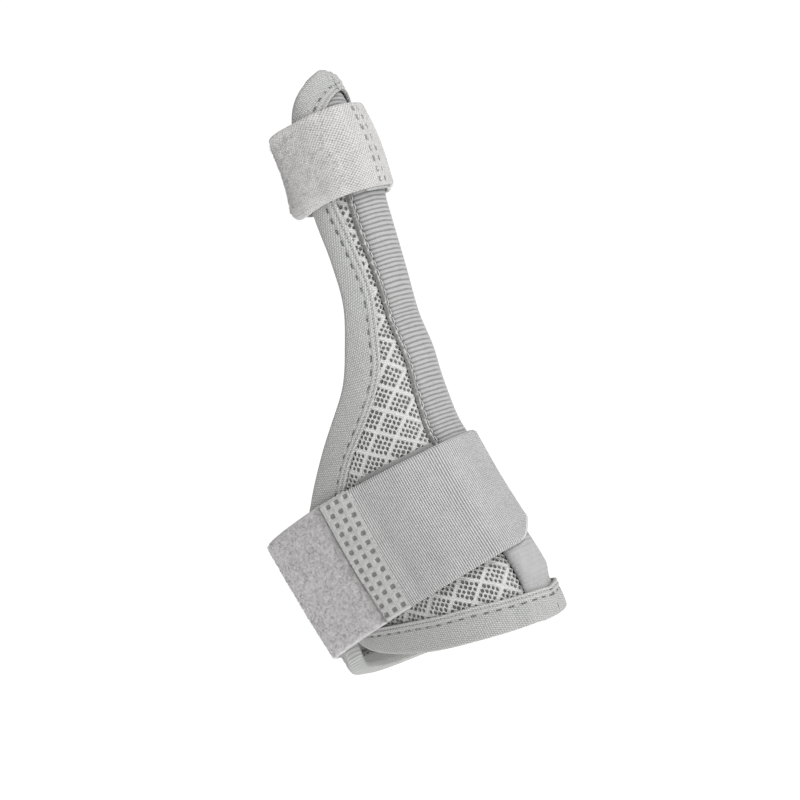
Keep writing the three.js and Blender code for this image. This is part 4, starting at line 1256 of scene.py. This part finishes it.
selvage_ribs = 0.05 * np.sin(from_edge * 2 * math.pi / 0.8) * (1 - in_weave)
worn_edge = 0.3 * (1 - smooth(0, 0.9, from_edge))
high = low + TAPE_THICK + relief + selvage_ribs - worn_edge - 0.5 * slot_share(u, z)
points, faces, lay, sides = layer(u, z, low, high, rim_steps=3, bulge=0.15)
middle_u, middle_z = lay[faces].mean(axis=1).T
slots = np.where((sides == 0) & (slot_share(middle_u, middle_z) > 0.5), 1, 0)
tape = sewn("thumb_strap_woven_tape", points, faces, lay, [woven, window_cloth], slots)
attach(tape, "root")
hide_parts("thumb_strap_tape")

fibre_u = -mixed(10, girth(THUMB_STRAP_RISE) - 28, rng.uniform(0, 1, TAPE_FIBRES) ** 0.6)
fibre_z = thumb_middle(fibre_u) + thumb_half * rng.uniform(-0.84, 0.84, TAPE_FIBRES)
fibre_height = tape_low(fibre_u, fibre_u + girth(fibre_z)) + TAPE_THICK
fibres = fuzz_fibres("thumb_strap_fibres", fibre_u, fibre_z, fibre_height,
                     length=1.2, stand=0.5, radius=0.05, material=woven, seed=31)
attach(fibres, "root")

# A wide pale floor lies far below the splint, which is held up at its wrist mount. The light comes from
# a white sky, one large soft lamp on the thumb side and a weak one on the other side.
FLOOR_DROP, FLOOR_SIZE = 0.42, 30
SKY_LIGHT, SKY_SEEN = 0.47, 1.05
floor_cloth = bpy.data.materials.new("pale_floor")
floor_cloth.use_nodes = True
floor_shader = floor_cloth.node_tree.nodes["Principled BSDF"]
floor_shader.inputs["Base Color"].default_value = (0.93, 0.93, 0.93, 1)
floor_shader.inputs["Roughness"].default_value = 1
floor_shader.inputs["Emission Color"].default_value = (1, 1, 1, 1)
floor_shader.inputs["Emission Strength"].default_value = 0.8
bpy.ops.mesh.primitive_plane_add(size=FLOOR_SIZE, location=(0, 0, -FLOOR_DROP))
floor = bpy.context.object
floor.name = "floor"
floor.data.materials.append(floor_cloth)

world = bpy.data.worlds.new("studio")
bpy.context.scene.world = world
world.use_nodes = True
sky_tree = world.node_tree
sky = sky_tree.nodes["Background"]
sky.inputs["Color"].default_value = (1, 1, 1, 1)
sky.inputs["Strength"].default_value = SKY_LIGHT
seen = sky_tree.nodes.new("ShaderNodeBackground")
seen.inputs["Color"].default_value = (1, 1, 1, 1)
seen.inputs["Strength"].default_value = SKY_SEEN
rays = sky_tree.nodes.new("ShaderNodeLightPath")
choose = sky_tree.nodes.new("ShaderNodeMixShader")
sky_tree.links.new(rays.outputs["Is Camera Ray"], choose.inputs[0])
sky_tree.links.new(sky.outputs[0], choose.inputs[1])
sky_tree.links.new(seen.outputs[0], choose.inputs[2])
sky_tree.links.new(choose.outputs[0], sky_tree.nodes["World Output"].inputs["Surface"])


def lamp(name, offset, size, power):
    """A square soft lamp that faces the splint's middle."""
    data = bpy.data.lights.new(name, "AREA")
    data.size = size
    data.energy = power
    made = bpy.data.objects.new(name, data)
    bpy.context.scene.collection.objects.link(made)
    aim = level * VIEW_RIGHT + upward * VIEW_UP
    made.location = aim + level * offset[0] + upward * offset[1] + back * offset[2]
    made.rotation_euler = (aim - made.location).to_track_quat("-Z", "Y").to_euler()


lamp("key_lamp", (0.95, 0.6, 0.6), 0.6, 11)
lamp("fill_lamp", (-0.9, 0.3, 0.7), 0.9, 1.0)
bpy.context.scene.view_settings.view_transform = "Standard"
